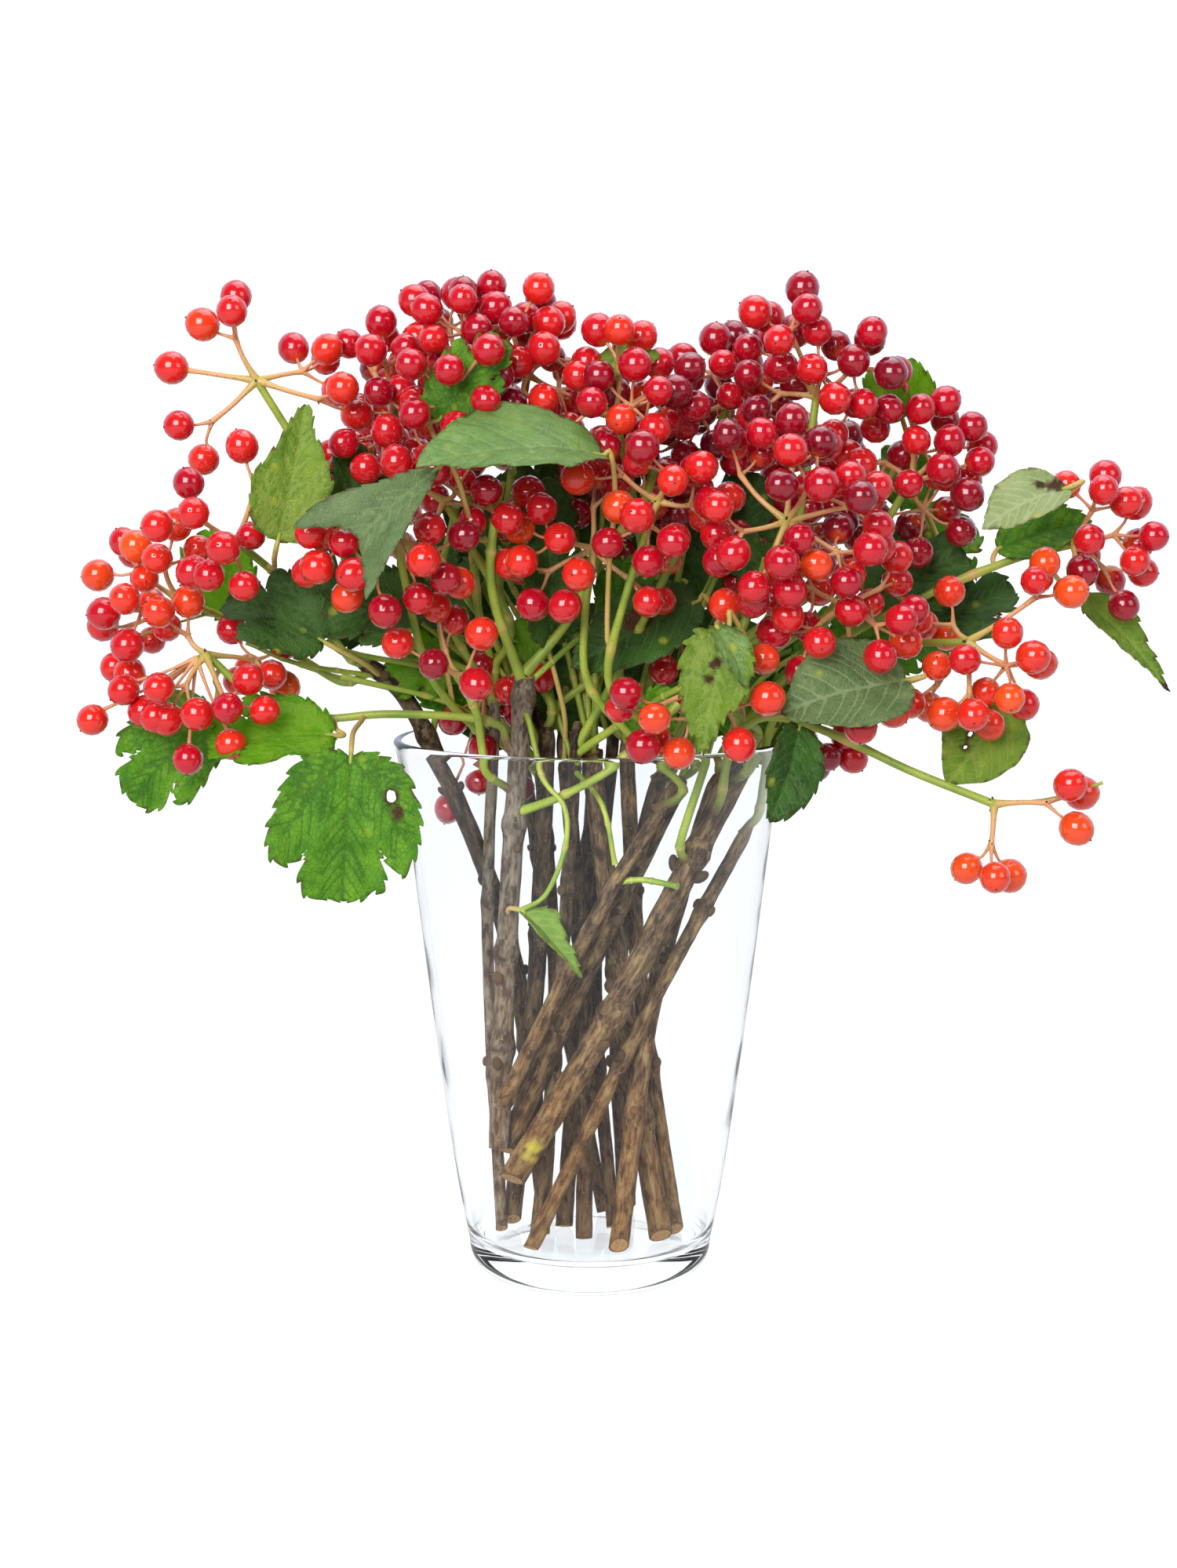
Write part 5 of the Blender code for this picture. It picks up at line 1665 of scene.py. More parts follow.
LEAVES = (
    Leaf("leaf_centre", (4, -58, 272), (-52, -74, 268), (0.0, -0.42, 0.9), 50, OVAL, 0.5, 34, 10, look=GREY),
    Leaf("leaf_centre_hanging", (-46, -62, 268), (-75, -68, 241), (-0.25, -0.9, 0.3), 34, SPLIT, 0.4,
         look=SAGE),
    Leaf("leaf_upper_left", (-97, -44, 246), (-88, -42, 288), (0.3, -0.94, 0.1), 30, EGG, 0.6, slim=0.88,
         look=OLIVE),
    Leaf("leaf_left_dark", (-79, -16, 242), (-75, -18, 276), (0.2, -0.95, 0.1), 24, look=DARK),
    Leaf("leaf_left_low_dark", (-86, -20, 213), (-117, -18, 226), (0.0, -0.8, 0.6), 28, look=DARK),
    Leaf("leaf_inner_left", (-55, -18, 226), (-84, -26, 218), (0.0, -0.85, 0.5), 28, look=DARK),
    Leaf("leaf_low_far_left", (-124, -12, 191), (-149, -15, 160), (0.1, -0.9, 0.4), 32),
    Leaf("leaf_low_left", (-82, -34, 184), (-121, -38, 180), (0.0, -0.6, 0.8), 32, look=BRIGHT),
    Leaf("leaf_hanging_left", (-74, -56, 180), (-77, -60, 135), (0.05, -1.0, 0.15), 46,
         holes=((0.27, -0.6, 1.6),), blights=((0.37, -0.7, 1.9),)),
    Leaf("leaf_inner_upright", (-13, -22, 213), (-15, -26, 252), (0.5, -0.85, 0.0), 22, look=DARK),
    Leaf("leaf_inner_dark", (35, -20, 226), (-6, -26, 205), (0.1, -0.9, 0.45), 26, OVAL, look=DARK,
         blights=((0.45, 0.2, 4.0),)),
    Leaf("leaf_rim_crinkled", (42, -68, 220), (34, -76, 182), (-0.3, -0.92, 0.1), 24, EGG, look=OLIVE,
         blights=((0.3, 0.1, 1.6), (0.42, 0.2, 1.3)), crinkle=2.6),
    Leaf("leaf_rim_grey", (98, -52, 203), (58, -66, 194), (0.1, -0.8, 0.6), 34, OVAL, 0.4, look=REVERSE),
    Leaf("leaf_rim_dark", (64, -64, 190), (54, -76, 162), (0.5, -0.85, 0.1), 20, OVAL, look=DARK),
    Leaf("leaf_right_low", (135, -28, 194), (114, -32, 168), (0.1, -0.9, 0.4), 26, OVAL, 0.2, slim=1.08,
         look=OLIVE, holes=((0.5, 0.3, 0.7), (0.62, 0.2, 0.6))),
    Leaf("leaf_far_right", (158, -6, 228), (189, -10, 196), (0.4, -0.8, 0.5), 15, LANCE, look=OLIVE,
         blights=((0.97, 0.0, 1.6),)),
    Leaf("leaf_right_pale", (150, -33, 262), (123, -37, 249), (0.0, -0.6, 0.8), 22, OVAL, 0.4,
         look=PALE, blights=((0.1, 0.2, 2.4), (0.26, 0.35, 1.6))),
    Leaf("leaf_top_right", (106, 4, 286), (105, 2, 304), (-0.4, -0.9, 0.1), 18, OVAL, look=BRIGHT),
    Leaf("leaf_top_left", (-47, -40, 283), (-26, -44, 307), (-0.2, -0.95, 0.2), 22),
)

# Leaves deeper in the bunch, which grow from the nearest shoot. Many take the dark finish, whose dark green
# is partly painted shade of the bunch's inside.
INNER_LEAVES = (
    Leaf("inner_far_left_bright", (-117, 8, 223), (-132, 2, 245), (0.1, -0.9, 0.4), 25, look=BRIGHT,
         blights=((0.75, 0.3, 1.6),)),
    Leaf("inner_left_bright", (-46, 6, 207), (-66, -4, 196), (0.0, -0.9, 0.4), 22, look=BRIGHT),
    Leaf("inner_right_shade", (133, -5, 242), (163, -8, 251), (0.1, -0.8, 0.6), 20, OVAL),
    Leaf("inner_top_sliver", (-4, -26, 295), (22, -32, 303), (0.0, -0.8, 0.6), 13, OVAL, look=OLIVE),
    Leaf("inner_rim_curl", (38, -74, 221), (47, -78, 203), (0.5, -0.9, 0.3), 13, OVAL, 0.3, look=GREY),
    Leaf("inner_right_wide", (92, 8, 226), (124, 4, 240), (0.0, -0.9, 0.35), 30, look=DARK),
    Leaf("inner_right_fill", (86, 12, 212), (120, 8, 208), (0.0, -0.8, 0.5), 28),
    Leaf("inner_upper_gap", (-6, 26, 244), (2, 26, 280), (0.0, -0.9, 0.2), 34, look=DARK),
    Leaf("inner_right_gap", (42, 30, 230), (58, 28, 266), (0.0, -0.9, 0.2), 38, look=DARK),
    Leaf("inner_vase", (-22, -30, 127), (-3, -36, 106), (0.55, -0.8, 0.5), 12, LANCE, fold=34, look=OLIVE),
    Leaf("inner_right_back", (105, 22, 234), (130, 26, 249), (0.0, -0.9, 0.3), 28),
    Leaf("inner_right_low", (111, 18, 213), (143, 22, 228), (0.0, -0.9, 0.4), 26, look=DARK),
    Leaf("inner_right_high", (112, 20, 256), (98, 16, 276), (0.0, -0.9, 0.2), 20, OVAL),
    Leaf("inner_top_right", (101, -8, 284), (89, -12, 299), (-0.3, -0.9, 0.1), 13, OVAL, look=BRIGHT),
    Leaf("inner_upper_dark", (-14, 14, 240), (-27, 8, 268), (0.0, -0.9, 0.2), 28, look=DARK),
    Leaf("inner_left_upright", (-51, 20, 213), (-52, 16, 246), (0.0, -0.95, 0.1), 28, look=DARK),
    Leaf("inner_middle", (5, -5, 220), (20, -8, 240), (0.1, -0.9, 0.3), 20, OVAL),
    Leaf("inner_rim_bright", (16, -20, 180), (25, -28, 199), (0.0, -0.9, 0.3), 15, look=BRIGHT),
    Leaf("inner_cane_bright", (-16, 0, 205), (-25, -8, 218), (0.0, -0.9, 0.3), 12, look=BRIGHT),
    Leaf("inner_right_mid", (62, 10, 228), (49, 6, 246), (0.0, -0.9, 0.2), 18, look=DARK),
    Leaf("inner_low_mid", (34, 8, 190), (56, 12, 216), (0.0, -0.9, 0.3), 24, look=DARK),
    Leaf("inner_back_left", (-30, 30, 222), (-42, 28, 258), (0.0, -0.9, 0.2), 34, look=DARK),
    Leaf("inner_back_mid", (13, 30, 238), (31, 30, 270), (0.0, -0.9, 0.2), 34, look=DARK),
    Leaf("inner_back_right", (73, 15, 194), (93, 15, 222), (0.0, -0.9, 0.3), 26),
    Leaf("inner_back_low", (40, 30, 222), (26, 32, 254), (0.0, -0.9, 0.2), 30, look=DARK),
    Leaf("inner_left_back", (-74, 15, 213), (-96, 18, 237), (0.0, -0.9, 0.3), 28, look=DARK),
    Leaf("inner_neck_back_left", (-20, 33, 178), (-46, 38, 216), (0.0, -0.9, 0.3), 44, look=DARK),
    Leaf("inner_neck_back", (2, 34, 180), (-4, 40, 222), (0.0, -0.95, 0.2), 44, look=DARK),
    Leaf("inner_neck_back_right", (22, 33, 178), (50, 38, 216), (0.0, -0.9, 0.3), 44, look=DARK),
    Leaf("inner_neck_mid", (-10, 14, 186), (-18, 10, 214), (0.0, -0.9, 0.3), 26, look=DARK),
    Leaf("inner_neck_left", (-40, 8, 190), (-58, 4, 206), (0.0, -0.9, 0.4), 22),
    Leaf("inner_neck_right", (48, 8, 176), (72, 4, 198), (0.0, -0.9, 0.4), 28),
    Leaf("inner_neck_right_back", (54, 26, 182), (88, 30, 206), (0.0, -0.9, 0.4), 36, look=DARK),
)


def leaf_point(leaf: Leaf, along: float, across: float) -> tuple[Vector, Vector]:
    """A point of a blade's middle surface, by the rule that its solid follows.

    Args:
        leaf: the leaf.
        along: share of its length.
        across: share of its half width, negative on the other half.

    Returns:
        The point and the surface's normal, in millimetres.
    """
    base, tip = Vector(leaf.base), Vector(leaf.tip)
    chord = tip - base
    ahead = chord.normalized()
    side = ahead.cross(Vector(leaf.face)).normalized()
    face = side.cross(ahead)
    droop = radians(leaf.droop)
    length = chord.length * (droop / 2) / sin(droop / 2)
    turn = droop * (0.5 - along)
    forward = length / droop * (sin(droop / 2) - sin(turn))
    rise = length / droop * (cos(turn) - cos(droop / 2))
    heading = ahead * cos(turn) + face * sin(turn)
    up = face * cos(turn) - ahead * sin(turn)
    roll = Quaternion(heading, radians(leaf.twist) * (along - 0.5))
    lift = radians(leaf.fold)
    outward = roll @ (side * copysign(cos(lift), across) + up * sin(lift))
    return base + ahead * forward + face * rise + outward * abs(across) * leaf.width / 2, roll @ up


def rough(x: float, y: float, scale: float, seed: float) -> float:
    """Smooth noise over a flat blade."""
    return noise.noise(Vector((x * scale, y * scale, seed)))


def inside(points: np.ndarray, loop: np.ndarray) -> np.ndarray:
    """Which points lie inside a closed outline.

    Args:
        points: rows of x and y.
        loop: the outline's corners in order.

    Returns:
        True for each point inside.
    """
    x, y = points[:, 0:1], points[:, 1:2]
    x0, y0 = loop[:, 0], loop[:, 1]
    x1, y1 = np.roll(x0, -1), np.roll(y0, -1)
    crosses = (y0 > y) != (y1 > y)
    rise = np.where(y1 == y0, 1e-9, y1 - y0)
    return (crosses & (x < (x1 - x0) * (y - y0) / rise + x0)).sum(axis=1) % 2 == 1


def nearest(points: np.ndarray, starts: np.ndarray, ends: np.ndarray, widths: np.ndarray) -> np.ndarray:
    """Distances from points to the nearest of some segments, in shares of each segment's width.

    Args:
        points: rows of x and y.
        starts: the segments' first points.
        ends: their last points.
        widths: their widths.

    Returns:
        One distance for each point.
    """
    spans = ends - starts
    squares = np.maximum((spans ** 2).sum(axis=1), 1e-9)
    offsets = points[:, None, :] - starts[None, :, :]
    along = np.clip((offsets * spans).sum(axis=2) / squares, 0, 1)
    gaps = np.linalg.norm(offsets - along[:, :, None] * spans, axis=2)
    return (gaps / widths).min(axis=1)


@dataclass
class Blade:
    """One leaf blade: a toothed outline, its veins, and a fine sheet bent to its solid's surface."""

    leaf: Leaf
    tooth: float = 5.3
    depth: float = 1.35
    grid: float = 1.25
    rib_points: int = 26
    hole_corners: int = 14
    vein_gap: float = 0.45
    rim_gap: float = 0.6

    def __post_init__(self) -> None:
        """Work out the flat sizes."""
        self.length = (Vector(self.leaf.tip) - Vector(self.leaf.base)).length
        self.half = self.leaf.width / 2 * self.leaf.slim
        self.draw = random.Random(self.leaf.name)

    def side_line(self, hand: int) -> list[Vector]:
        """One toothed half of the outline.

        Args:
            hand: 1 or -1.

        Returns:
            Points in millimetres from stalk to tip.
        """
        knots = []
        for along, across in self.leaf.outline.value:
            loose = 0.035 if 0.03 < along < 0.97 else 0.0
            knots.append(Vector(((along + self.draw.uniform(-loose, loose)) * self.length,
                                 (across + self.draw.uniform(-loose, loose)) * self.half, 0)))
        fine = smooth_line(knots, 150)
        line = [fine[0]]
        travel = 0.0
        phase = self.draw.uniform(0.0, 0.5)
        pitch = self.tooth * self.draw.uniform(0.85, 1.15)
        depth = self.leaf.teeth * (self.depth if self.leaf.lobed else self.depth * 0.6)
        for a, b in zip(fine[:-1], fine[1:]):
            step = (b - a).length
            if step < 1e-6:
                continue
            travel += step
            phase += step / pitch
            ahead = (b - a) / step
            out = Vector((-ahead.y, ahead.x, 0))
            if phase >= 1.0:
                line.append(b + out * depth * fade * 0.95 + ahead * 0.35)
                line.append(b - out * 0.15)
                phase = 0.0
                pitch = self.tooth * self.draw.uniform(0.7, 1.25)
                continue
            fade = min(1.0, travel / 8.0) * (0.4 if b.x > 0.97 * self.length else 1.0)
            line.append(b + out * depth * fade * phase ** 1.4)
        kept = [line[0]]
        for point in line[1:]:
            if (point - kept[-1]).length > 0.45:
                kept.append(point)
        return [Vector((p.x, p.y * hand, 0)) for p in kept]

    def outline(self) -> np.ndarray:
        """The whole toothed outline.

        Returns:
            Corners in order, as rows of x and y in millimetres.
        """
        right, left = self.side_line(1), self.side_line(-1)
        return np.array([(p.x, p.y) for p in right[:-1] + left[::-1]])

    def vein_lines(self, loop: np.ndarray) -> list[tuple[np.ndarray, float]]:
        """The midrib, the lobes' ribs and their side veins.

        Args:
            loop: the outline.

        Returns:
            Each vein's points and half width, in millimetres.
        """
        length, half = self.length, self.half
        main = [([(0.0, 0.0), (0.5, 0.0), (0.97, 0.0)], 0.5)]
        if self.leaf.lobed:
            for hand in (1, -1):
                main.append(([(0.0, 0.0), (0.22, 0.36 * hand), (0.55, 0.84 * hand)], 0.42))
                main.append(([(0.0, 0.0), (0.09, 0.36 * hand), (0.22, 0.74 * hand)], 0.3))
        ribs = [(smooth_line([Vector((a * length, b * half, 0)) for a, b in knots], self.rib_points), width)
                for knots, width in main]
        veins = [(self.clipped(path, loop), width) for path, width in ribs]
        first = 0.28 if self.leaf.lobed else 0.06
        for index, (path, width) in enumerate(ribs):
            starts = np.linspace(first if index == 0 else 0.3, 0.92, 8 if index == 0 else 6)
            for place in starts:
                for hand in (1, -1):
                    at = int((place + self.draw.uniform(-0.025, 0.025)) * self.rib_points)
                    at = min(at, self.rib_points - 1)
                    ahead = (path[at + 1] - path[at]).normalized()
                    lean, share = (44, 0.42) if self.leaf.lobed else (52, 0.95)
                    way = Quaternion(Vector((0, 0, 1)), radians(lean) * hand) @ ahead
                    reach = half * share
                    bend = ahead * reach * 0.22
                    line = smooth_line([path[at], path[at] + way * reach * 0.5 + bend * 0.2,
                                        path[at] + way * reach + bend], 12)
                    veins.append((self.clipped(line, loop), 0.22))
        return [(line, width) for line, width in veins if len(line) > 2]

    def clipped(self, path: Sequence[Vector], loop: np.ndarray) -> np.ndarray:
        """The stretch of a vein that lies well inside the outline, from its start.

        Args:
            path: the vein's points.
            loop: the outline.

        Returns:
            Rows of x and y.
        """
        points = np.array([(p.x, p.y) for p in path])
        ends = np.roll(loop, -1, axis=0)
        clear = nearest(points, loop, ends, np.ones(len(loop))) > 0.7
        keep = inside(points, loop) & clear
        keep[:2] = True
        count = len(points) if keep.all() else int(np.argmin(keep))
        return points[:count]

    def hole_loops(self) -> list[np.ndarray]:
        """Ragged rings round the holes."""
        loops = []
        for along, across, radius in self.leaf.holes:
            ring = []
            for k in range(self.hole_corners):
                angle = 2 * pi * k / self.hole_corners
                wide = radius * (1 + 0.25 * rough(cos(angle), sin(angle), 2, radius))
                ring.append((along * self.length + wide * cos(angle) * 1.25,
                             across * self.half + wide * sin(angle)))
            loops.append(np.array(ring))
        return loops

    def build(self) -> Mesh:
        """Lay the flat mesh out and bend it.

        Returns:
            A mesh in metres with vein and brown attributes and a UV map in millimetres.
        """
        loop = self.outline()
        veins = self.vein_lines(loop)
        holes = self.hole_loops()
        rims = np.vstack([loop, *holes])
        rim_ends = np.vstack([np.roll(ring, -1, axis=0) for ring in (loop, *holes)])
        starts = np.vstack([line[:-1] for line, _ in veins])
        ends = np.vstack([line[1:] for line, _ in veins])
        widths = np.concatenate([np.full(len(line) - 1, width) for line, width in veins])
        columns = np.arange(loop[:, 0].min(), loop[:, 0].max(), self.grid * 0.866)
        grid = np.array([(x, y + (k % 2) * self.grid / 2) for k, x in enumerate(columns)
                         for y in np.arange(loop[:, 1].min(), loop[:, 1].max(), self.grid)])
        grid = grid[inside(grid, loop)]
        far = nearest(grid, rims, rim_ends, np.ones(len(rims))) > self.rim_gap
        grid = grid[far & (nearest(grid, starts, ends, np.ones(len(starts))) > self.vein_gap)]
        points, edges = [], []
        for line, closed in [(ring, 1) for ring in (loop, *holes)] + [(line, 0) for line, _ in veins]:
            first, count = len(points), len(line)
            points += [Vector(p) for p in line]
            edges += [(first + k, first + (k + 1) % count) for k in range(count - 1 + closed)]
        points += [Vector(p) for p in grid]
        flat, _, faces, *_ = delaunay_2d_cdt(points, edges, [], 0, 0.02)
        flat = np.array([(p.x, p.y) for p in flat])
        faces = np.array([tuple(f) for f in faces])
        middles = flat[faces].mean(axis=1)
        keep = inside(middles, loop)
        for ring in holes:
            keep &= ~inside(middles, ring)
        return self.bend(flat, faces[keep], nearest(flat, starts, ends, widths), loop, holes)

    def bend(self, flat: np.ndarray, faces: np.ndarray, vein: np.ndarray, loop: np.ndarray,
             holes: list) -> Mesh:
        """Bend the flat mesh to the blade's surface, with puckers between the veins.

        Args:
            flat: rows of x and y.
            faces: triangles by point numbers.
            vein: each point's distance to the veins, in vein widths.
            loop: the outline.
            holes: the holes' outlines; not used.

        Returns:
            The bent mesh.
        """
        leaf = self.leaf
        seed = name_seed(leaf.name)
        brown = np.zeros(len(flat))
        for along, across, radius in (*leaf.blights, *((a, b, r + 0.7) for a, b, r in leaf.holes)):
            centre = np.array((along * self.length, across * self.half))
            far = np.linalg.norm((flat - centre) * (0.85, 1.0), axis=1) / radius
            ragged = np.array([rough(x, y, 0.5, seed) for x, y in flat])
            brown = np.maximum(brown, np.clip((1.15 + 0.4 * ragged - far) / 0.25, 0, 1))
        margin = nearest(flat, loop, np.roll(loop, -1, axis=0), np.ones(len(loop)))
        crisp = np.array([rough(x, y, 0.35, seed + 9) for x, y in flat])
        brown = np.maximum(brown, np.clip((0.45 - margin) * 2.0, 0, 1) * np.clip(crisp * 4, 0, 0.8))
        data = bpy.data.meshes.new(leaf.name)
        places = []
        for (x, y), gap in zip(flat, vein):
            along, across = x / self.length, y / self.half * leaf.slim
            point, normal = leaf_point(leaf, along, across)
            pucker = 1.0 * (1 - exp(-gap / 6.0)) + 0.28 * rough(x, y, 0.4, seed)
            wave = rough(x, y, 0.085, seed * 0.7) * 1.9 * (0.35 + abs(across))
            frill = rough(x, y, 0.22, seed * 1.3) * 0.75 * across ** 2
            places.append((point + normal * (pucker + (wave + frill) * leaf.crinkle)) * MM)
        data.from_pydata(places, [], [tuple(int(i) for i in f[::-1]) for f in faces])
        for label, values in (("vein", vein), ("brown", brown)):
            data.attributes.new(label, "FLOAT", "POINT").data.foreach_set("value", list(map(float, values)))
        layer = data.uv_layers.new(name="UVMap")
        for loop_corner, uv in zip(data.loops, layer.data):
            x, y = flat[loop_corner.vertex_index]
            uv.uv = (x + seed, y + seed * 0.5)
        data.shade_smooth()
        return data


@dataclass
class Leaves:
    """All the leaves with their stalks."""

    blade_thickness: float = 0.32
    stalk_radius: float = 0.85
    blade_share: float = 0.2
    seat_reach: float = 7.0
    seat_depth: float = 0.8
    looks: dict = field(default_factory=dict)

    def skins(self, look: Foliage) -> tuple[Material, Material]:
        """The two materials of a finish, made once."""
        if look not in self.looks:
            self.looks[look] = tuple(skin.build() for skin in look.value)
        return self.looks[look]

    def blade(self, leaf: Leaf) -> Object:
        """Make a blade of two skins.

        Args:
            leaf: the leaf.

        Returns:
            The finished blade.
        """
        upper, lower = self.skins(leaf.look)
        piece = link_mesh("blade_" + leaf.name, Blade(leaf).build(), upper, lower)
        skin = piece.modifiers.new("thickness", "SOLIDIFY")
        skin.thickness = self.blade_thickness * MM
        skin.offset = -1.0
        skin.material_offset = 1
        return settle(piece)

    def packed_path(self, leaf: Leaf) -> list[Vector]:
        """The centre line of a packed leaf's stalk, from the blade down.

        Args:
            leaf: the leaf.

        Returns:
            Points in millimetres.
        """
        mesh = welded(leaf.name)
        widths = LOBED_WIDTHS if leaf.lobed else OVAL_WIDTHS
        blade = []
        for along, width in zip(LEAF_STATIONS, widths):
            for across in (-width, 0.0, width):
                point, normal = leaf_point(leaf, along, across)
                blade += [point + normal * LEAF_THICKNESS / 2, point - normal * LEAF_THICKNESS / 2]
        corners = np.array([tuple(p) for p in blade])
        path = walk({v for v in mesh.verts if np.linalg.norm(corners - np.array(v.co), axis=1).min() < 0.05},
                    set())
        mesh.free()
        return path

    def stalk(self, leaf: Leaf, crowd: Crowd, skin: Material) -> Object:
        """Make the leaf's stalk along its solid's own line, or from the nearest shoot.

        Args:
            leaf: the leaf.
            crowd: the shoots that a new leaf can grow from.
            skin: the stalk's material.

        Returns:
            The finished stalk.
        """
        base = Vector(leaf.base)
        inner, _ = leaf_point(leaf, 0.06, 0.0)
        if leaf.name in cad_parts:
            blade = Vector(leaf.tip) - base
            limit = self.blade_share * blade.length_squared
            path = [p for p in self.packed_path(leaf) if (p - base).dot(blade) < limit]
            if len(path) > 4:
                del path[1]
            root = min(crowd.anchors, key=lambda a: (a - path[-1]).length)
            if (root - path[-1]).length < self.seat_reach:
                path.append(root)
        else:
            root = crowd.anchor(base)
            away = (base - Vector(leaf.tip)).normalized()
            path = [base.lerp(root, 0.5) + away * (base - root).length * 0.2, root]
        path.append(path[-1] + (path[-1] - path[-2]).normalized() * self.seat_depth)
        wide = self.stalk_radius
        lines = Line()
        lines.add(smooth_line([inner, base, *path], 24),
                  [wide * 0.7, wide * 0.9, wide, wide, wide, wide * 1.05, wide * 1.2], [0.1, 0.3, 0.35, 0.1])
        return lines.grow("stalk_" + leaf.name, 8, skin)


# ---- the studio

# How white the surround looks, straight and from inside the glass.
BACKDROP = 1.12
GLASS_BOUNCE = 0.85


def backdrop_level(add: Callable[..., Node]) -> Node:
    """How bright the surround looks to a ray: full where the camera sees it, straight or through glass.

    Args:
        add: adds a node to the tree.

    Returns:
        The node, 0 for rays that only light the arrangement.
    """
    path = add("LightPath").outputs
    clear = add("Math", {0: path["Is Transmission Ray"], 1: path["Diffuse Depth"]}, operation="SUBTRACT",
                use_clamp=True)
    seen = add("Math", {0: path["Is Camera Ray"], 1: clear}, operation="MAXIMUM")
    full = add("Math", {0: seen, 1: BACKDROP}, operation="MULTIPLY")
    # One diffuse bounce outweighs any number of passes through the glass.
    inner = add("Math", {0: path["Diffuse Depth"], 1: -50.0, 2: path["Transmission Depth"]},
                operation="MULTIPLY_ADD", use_clamp=True)
    bounce = add("Math", {0: inner, 1: GLASS_BOUNCE}, operation="MULTIPLY")
    return add("Math", {0: full, 1: bounce}, operation="MAXIMUM")


@dataclass(frozen=True)
class Sweep(Finish):
    """Matt white paper: it glows as white as the surround and still takes a soft shadow."""

    paper: tuple = (0.22, 0.22, 0.22, 1.0)
    glow: float = 0.84
    least: float = 0.5

    def surface(self, add: Callable[..., Node]) -> Node:
        """A dull sheet with a glow added.

        Args:
            add: adds a node to the material's tree.

        Returns:
            The shader.
        """
        bright = add("Math", {0: backdrop_level(add), 1: self.least}, operation="MAXIMUM")
        dimmed = add("Math", {0: bright, 1: self.glow}, operation="MULTIPLY")
        glow = add("Emission", {"Color": "#FFFFFF", "Strength": dimmed})
        return add("AddShader", {0: add("BsdfDiffuse", {"Color": self.paper}), 1: glow})


@dataclass
class Studio:
    """A white sweep, soft lamps and the camera."""

    eye: tuple = (-0.0005, -0.8282, 0.2652)
    pitch: float = 6.95
    lens: float = 57.63
    sweep: float = 4.0
    room_front: float = 0.12
    room_back: float = 1.0

    def build(self) -> None:
        """Add the floor, the lamps, the world and the camera."""
        self.floor()
        self.world()
        for name, place, size, power in (("key", (-0.45, -1.25, 0.75), 0.8, 21.0),
                                         ("fill", (0.95, -0.85, 0.7), 0.6, 3.6),
                                         ("top", (0.1, 0.1, 1.25), 0.9, 6.5)):
            self.lamp(name, Vector(place), size, power)
        data = bpy.data.cameras.new("camera")
        data.lens = self.lens
        data.clip_start = 0.02
        camera = bpy.data.objects.new("camera", data)
        camera.location = self.eye
        camera.rotation_euler = (radians(90 - self.pitch), 0, 0)
        bpy.context.scene.collection.objects.link(camera)
        bpy.context.scene.camera = camera
        bpy.context.scene.view_settings.view_transform = "Standard"

    def lamp(self, name: str, place: Vector, size: float, power: float) -> None:
        """Add a square soft lamp that looks at the arrangement.

        Args:
            name: the lamp's name.
            place: where it stands, in metres.
            size: its side, in metres.
            power: its power, in watts.
        """
        data = bpy.data.lights.new(name, "AREA")
        data.size = size
        data.energy = power
        lamp = bpy.data.objects.new(name, data)
        lamp.location = place
        lamp.rotation_euler = (Vector((0, 0, 0.17)) - place).to_track_quat("-Z", "Y").to_euler()
        bpy.context.scene.collection.objects.link(lamp)

    def floor(self) -> None:
        """Lay the white floor, which keeps the soft shadow."""
        mesh = bmesh.new()
        bmesh.ops.create_grid(mesh, x_segments=2, y_segments=2, size=self.sweep)
        link_mesh("floor", to_data(mesh, "floor", False), Sweep("matt_white_paper_sweep").build())

    def world(self) -> None:
        """A white surround: full white where it is seen, softer where it lights."""
        world = bpy.data.worlds.new("white_studio")
        world.use_nodes = True
        world.node_tree.nodes.clear()
        add = partial(add_node, world.node_tree)
        way = add("TexCoord").outputs["Generated"]
        depth = add("SeparateXYZ", {0: way}).outputs["Y"]
        room = add("MapRange", {"Value": depth, "From Min": -0.25, "From Max": 0.35,
                                "To Min": self.room_front, "To Max": self.room_back},
                   interpolation_type="SMOOTHSTEP")
        seen = backdrop_level(add)
        level = add("Math", {0: seen, 1: room}, operation="MAXIMUM")
        tint = add("Mix", {0: seen, 6: "#DDECFF", 7: "#FFFFFF"}, data_type="RGBA", clamp_factor=True)
        add("OutputWorld", {0: add("Background", {"Color": tint, "Strength": level})})
        bpy.context.scene.world = world


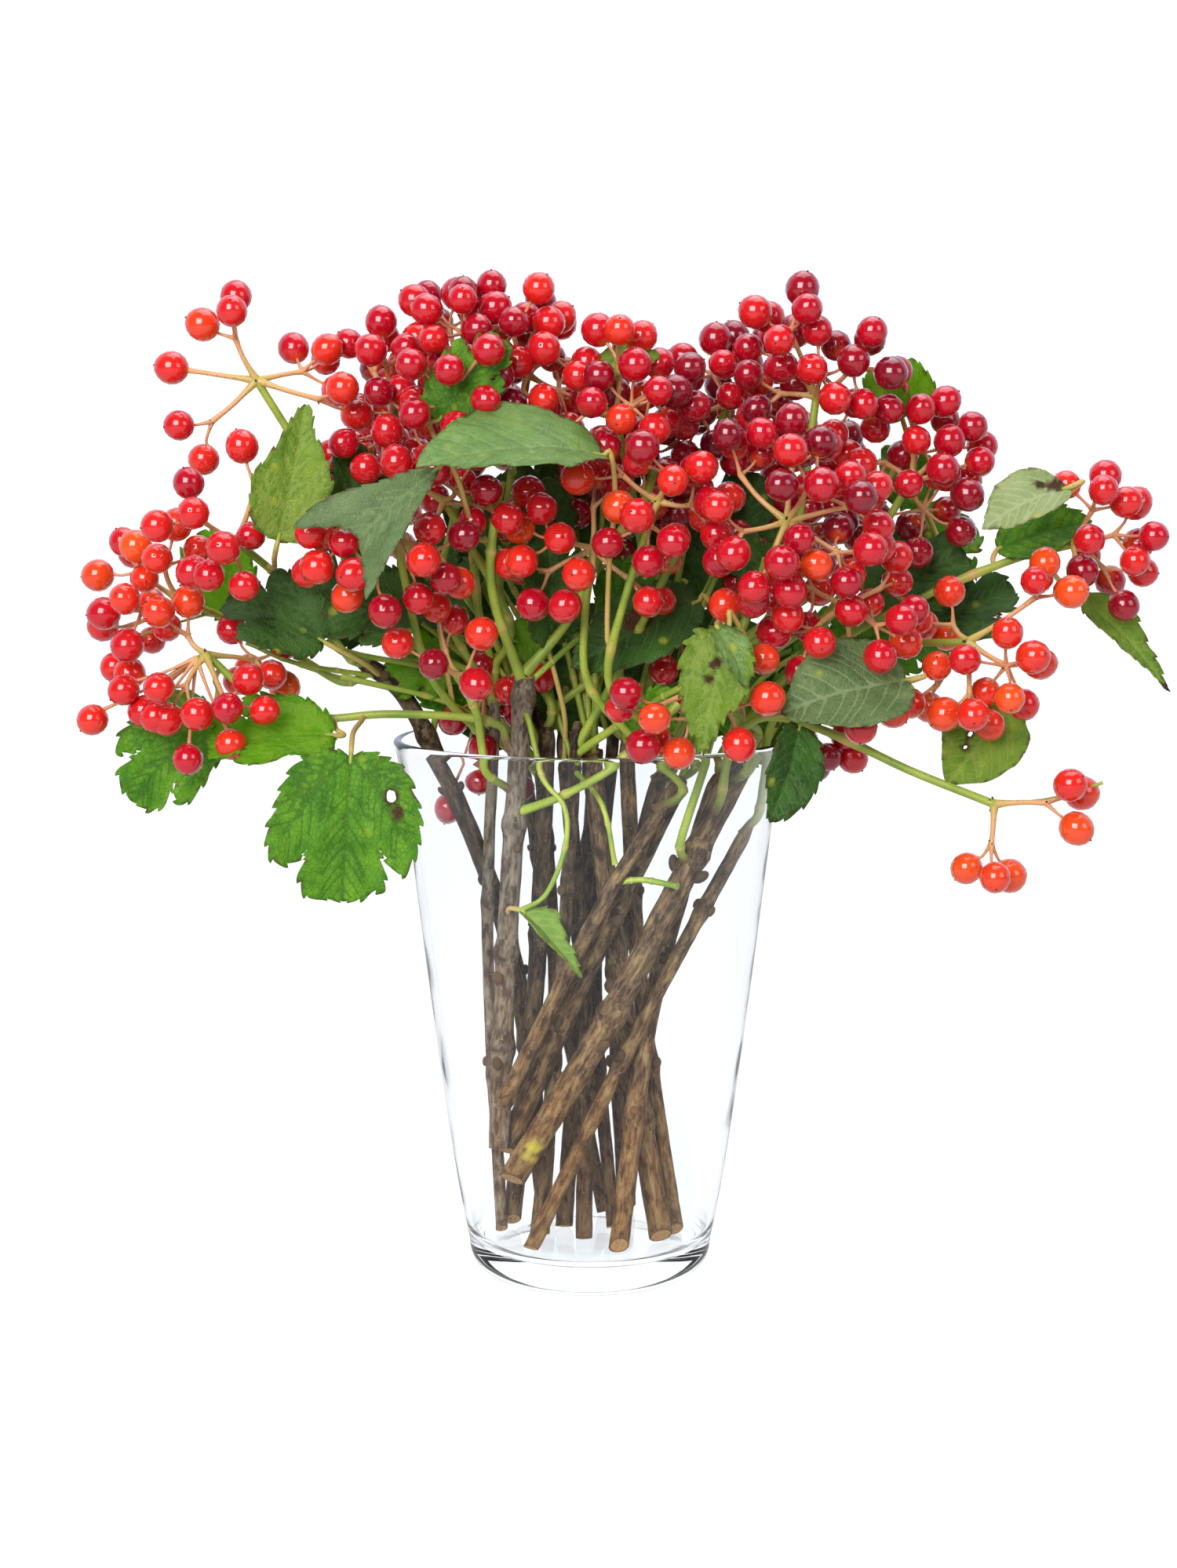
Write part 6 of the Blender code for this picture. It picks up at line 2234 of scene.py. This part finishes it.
def main() -> None:
    """Build the studio and every piece of the arrangement in order."""
    logging.basicConfig(level=logging.INFO, format="%(message)s")
    Studio().build()
    hand_in(Vase().build(), "vase")
    barks, wood = {kind: kind.value.build() for kind in Bark}, CutWood().build()
    bundle = CaneBundle()
    for cane in (*CANES, *INNER_CANES):
        hand_in(bundle.build(cane, barks[cane.bark], wood), cane.name)
    hand_in(bundle.knobs(barks[DARK_BARK], False))
    hand_in(bundle.knobs(barks[BROWN], True))
    green, skin = StalkSkin().build(), BerrySkin().build()
    umbels = [UmbelReader(node).read() for node in sorted(SPRAY_LOOKS)]
    crowd = Crowd()
    for line in bundle.lines.values():
        crowd.anchors += line
        crowd.block(line, Crowd.CANE_ROOM)
    for umbel in umbels:
        shoot = smooth_line(umbel.shoot, 40)
        crowd.anchors += shoot
        crowd.block(shoot, Crowd.SHOOT_ROOM)
        crowd.block([ray[0].lerp(ray[-1], k / 6) for ray in umbel.rays for k in range(7)], Crowd.STALK_ROOM)
        for berry in umbel.berries:
            crowd.block([berry.centre], berry.radius)
    for leaf in (*LEAVES, *INNER_LEAVES):
        crowd.block((leaf_point(leaf, a / 8, b / 4)[0] for a in range(9) for b in range(-4, 5)),
                    Crowd.LEAF_ROOM)
    sprays = Sprays()
    for umbel in umbels:
        crowd.crowd_in(umbel, SPRAY_LOOKS[umbel.name].more)
        hand_in(sprays.stalks(umbel, green), umbel.name)
        hand_in(sprays.berries(umbel, skin), umbel.name)
    LOG.info("%d berries", sum(len(umbel.berries) for umbel in umbels))
    hand_in(sprays.side_shoots(crowd, green))
    hand_in(sprays.sheaf(crowd, green))
    deep = [sprays.deep_bunch(Vector(fork), crowd) for fork in DEEP_FORKS]
    for bunch in (*BUNCHES, *(found for found in deep if found.centres)):
        extra = sprays.bunch(bunch, crowd)
        hand_in(sprays.stalks(extra, green))
        hand_in(sprays.berries(extra, skin))
    hand_in(sprays.bracts(umbels, DryScale().build()))
    leaves = Leaves()
    for leaf in (*LEAVES, *INNER_LEAVES):
        hand_in(leaves.blade(leaf), leaf.name)
        hand_in(leaves.stalk(leaf, crowd, green), leaf.name)
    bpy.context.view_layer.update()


if __name__ == "__main__":
    main()
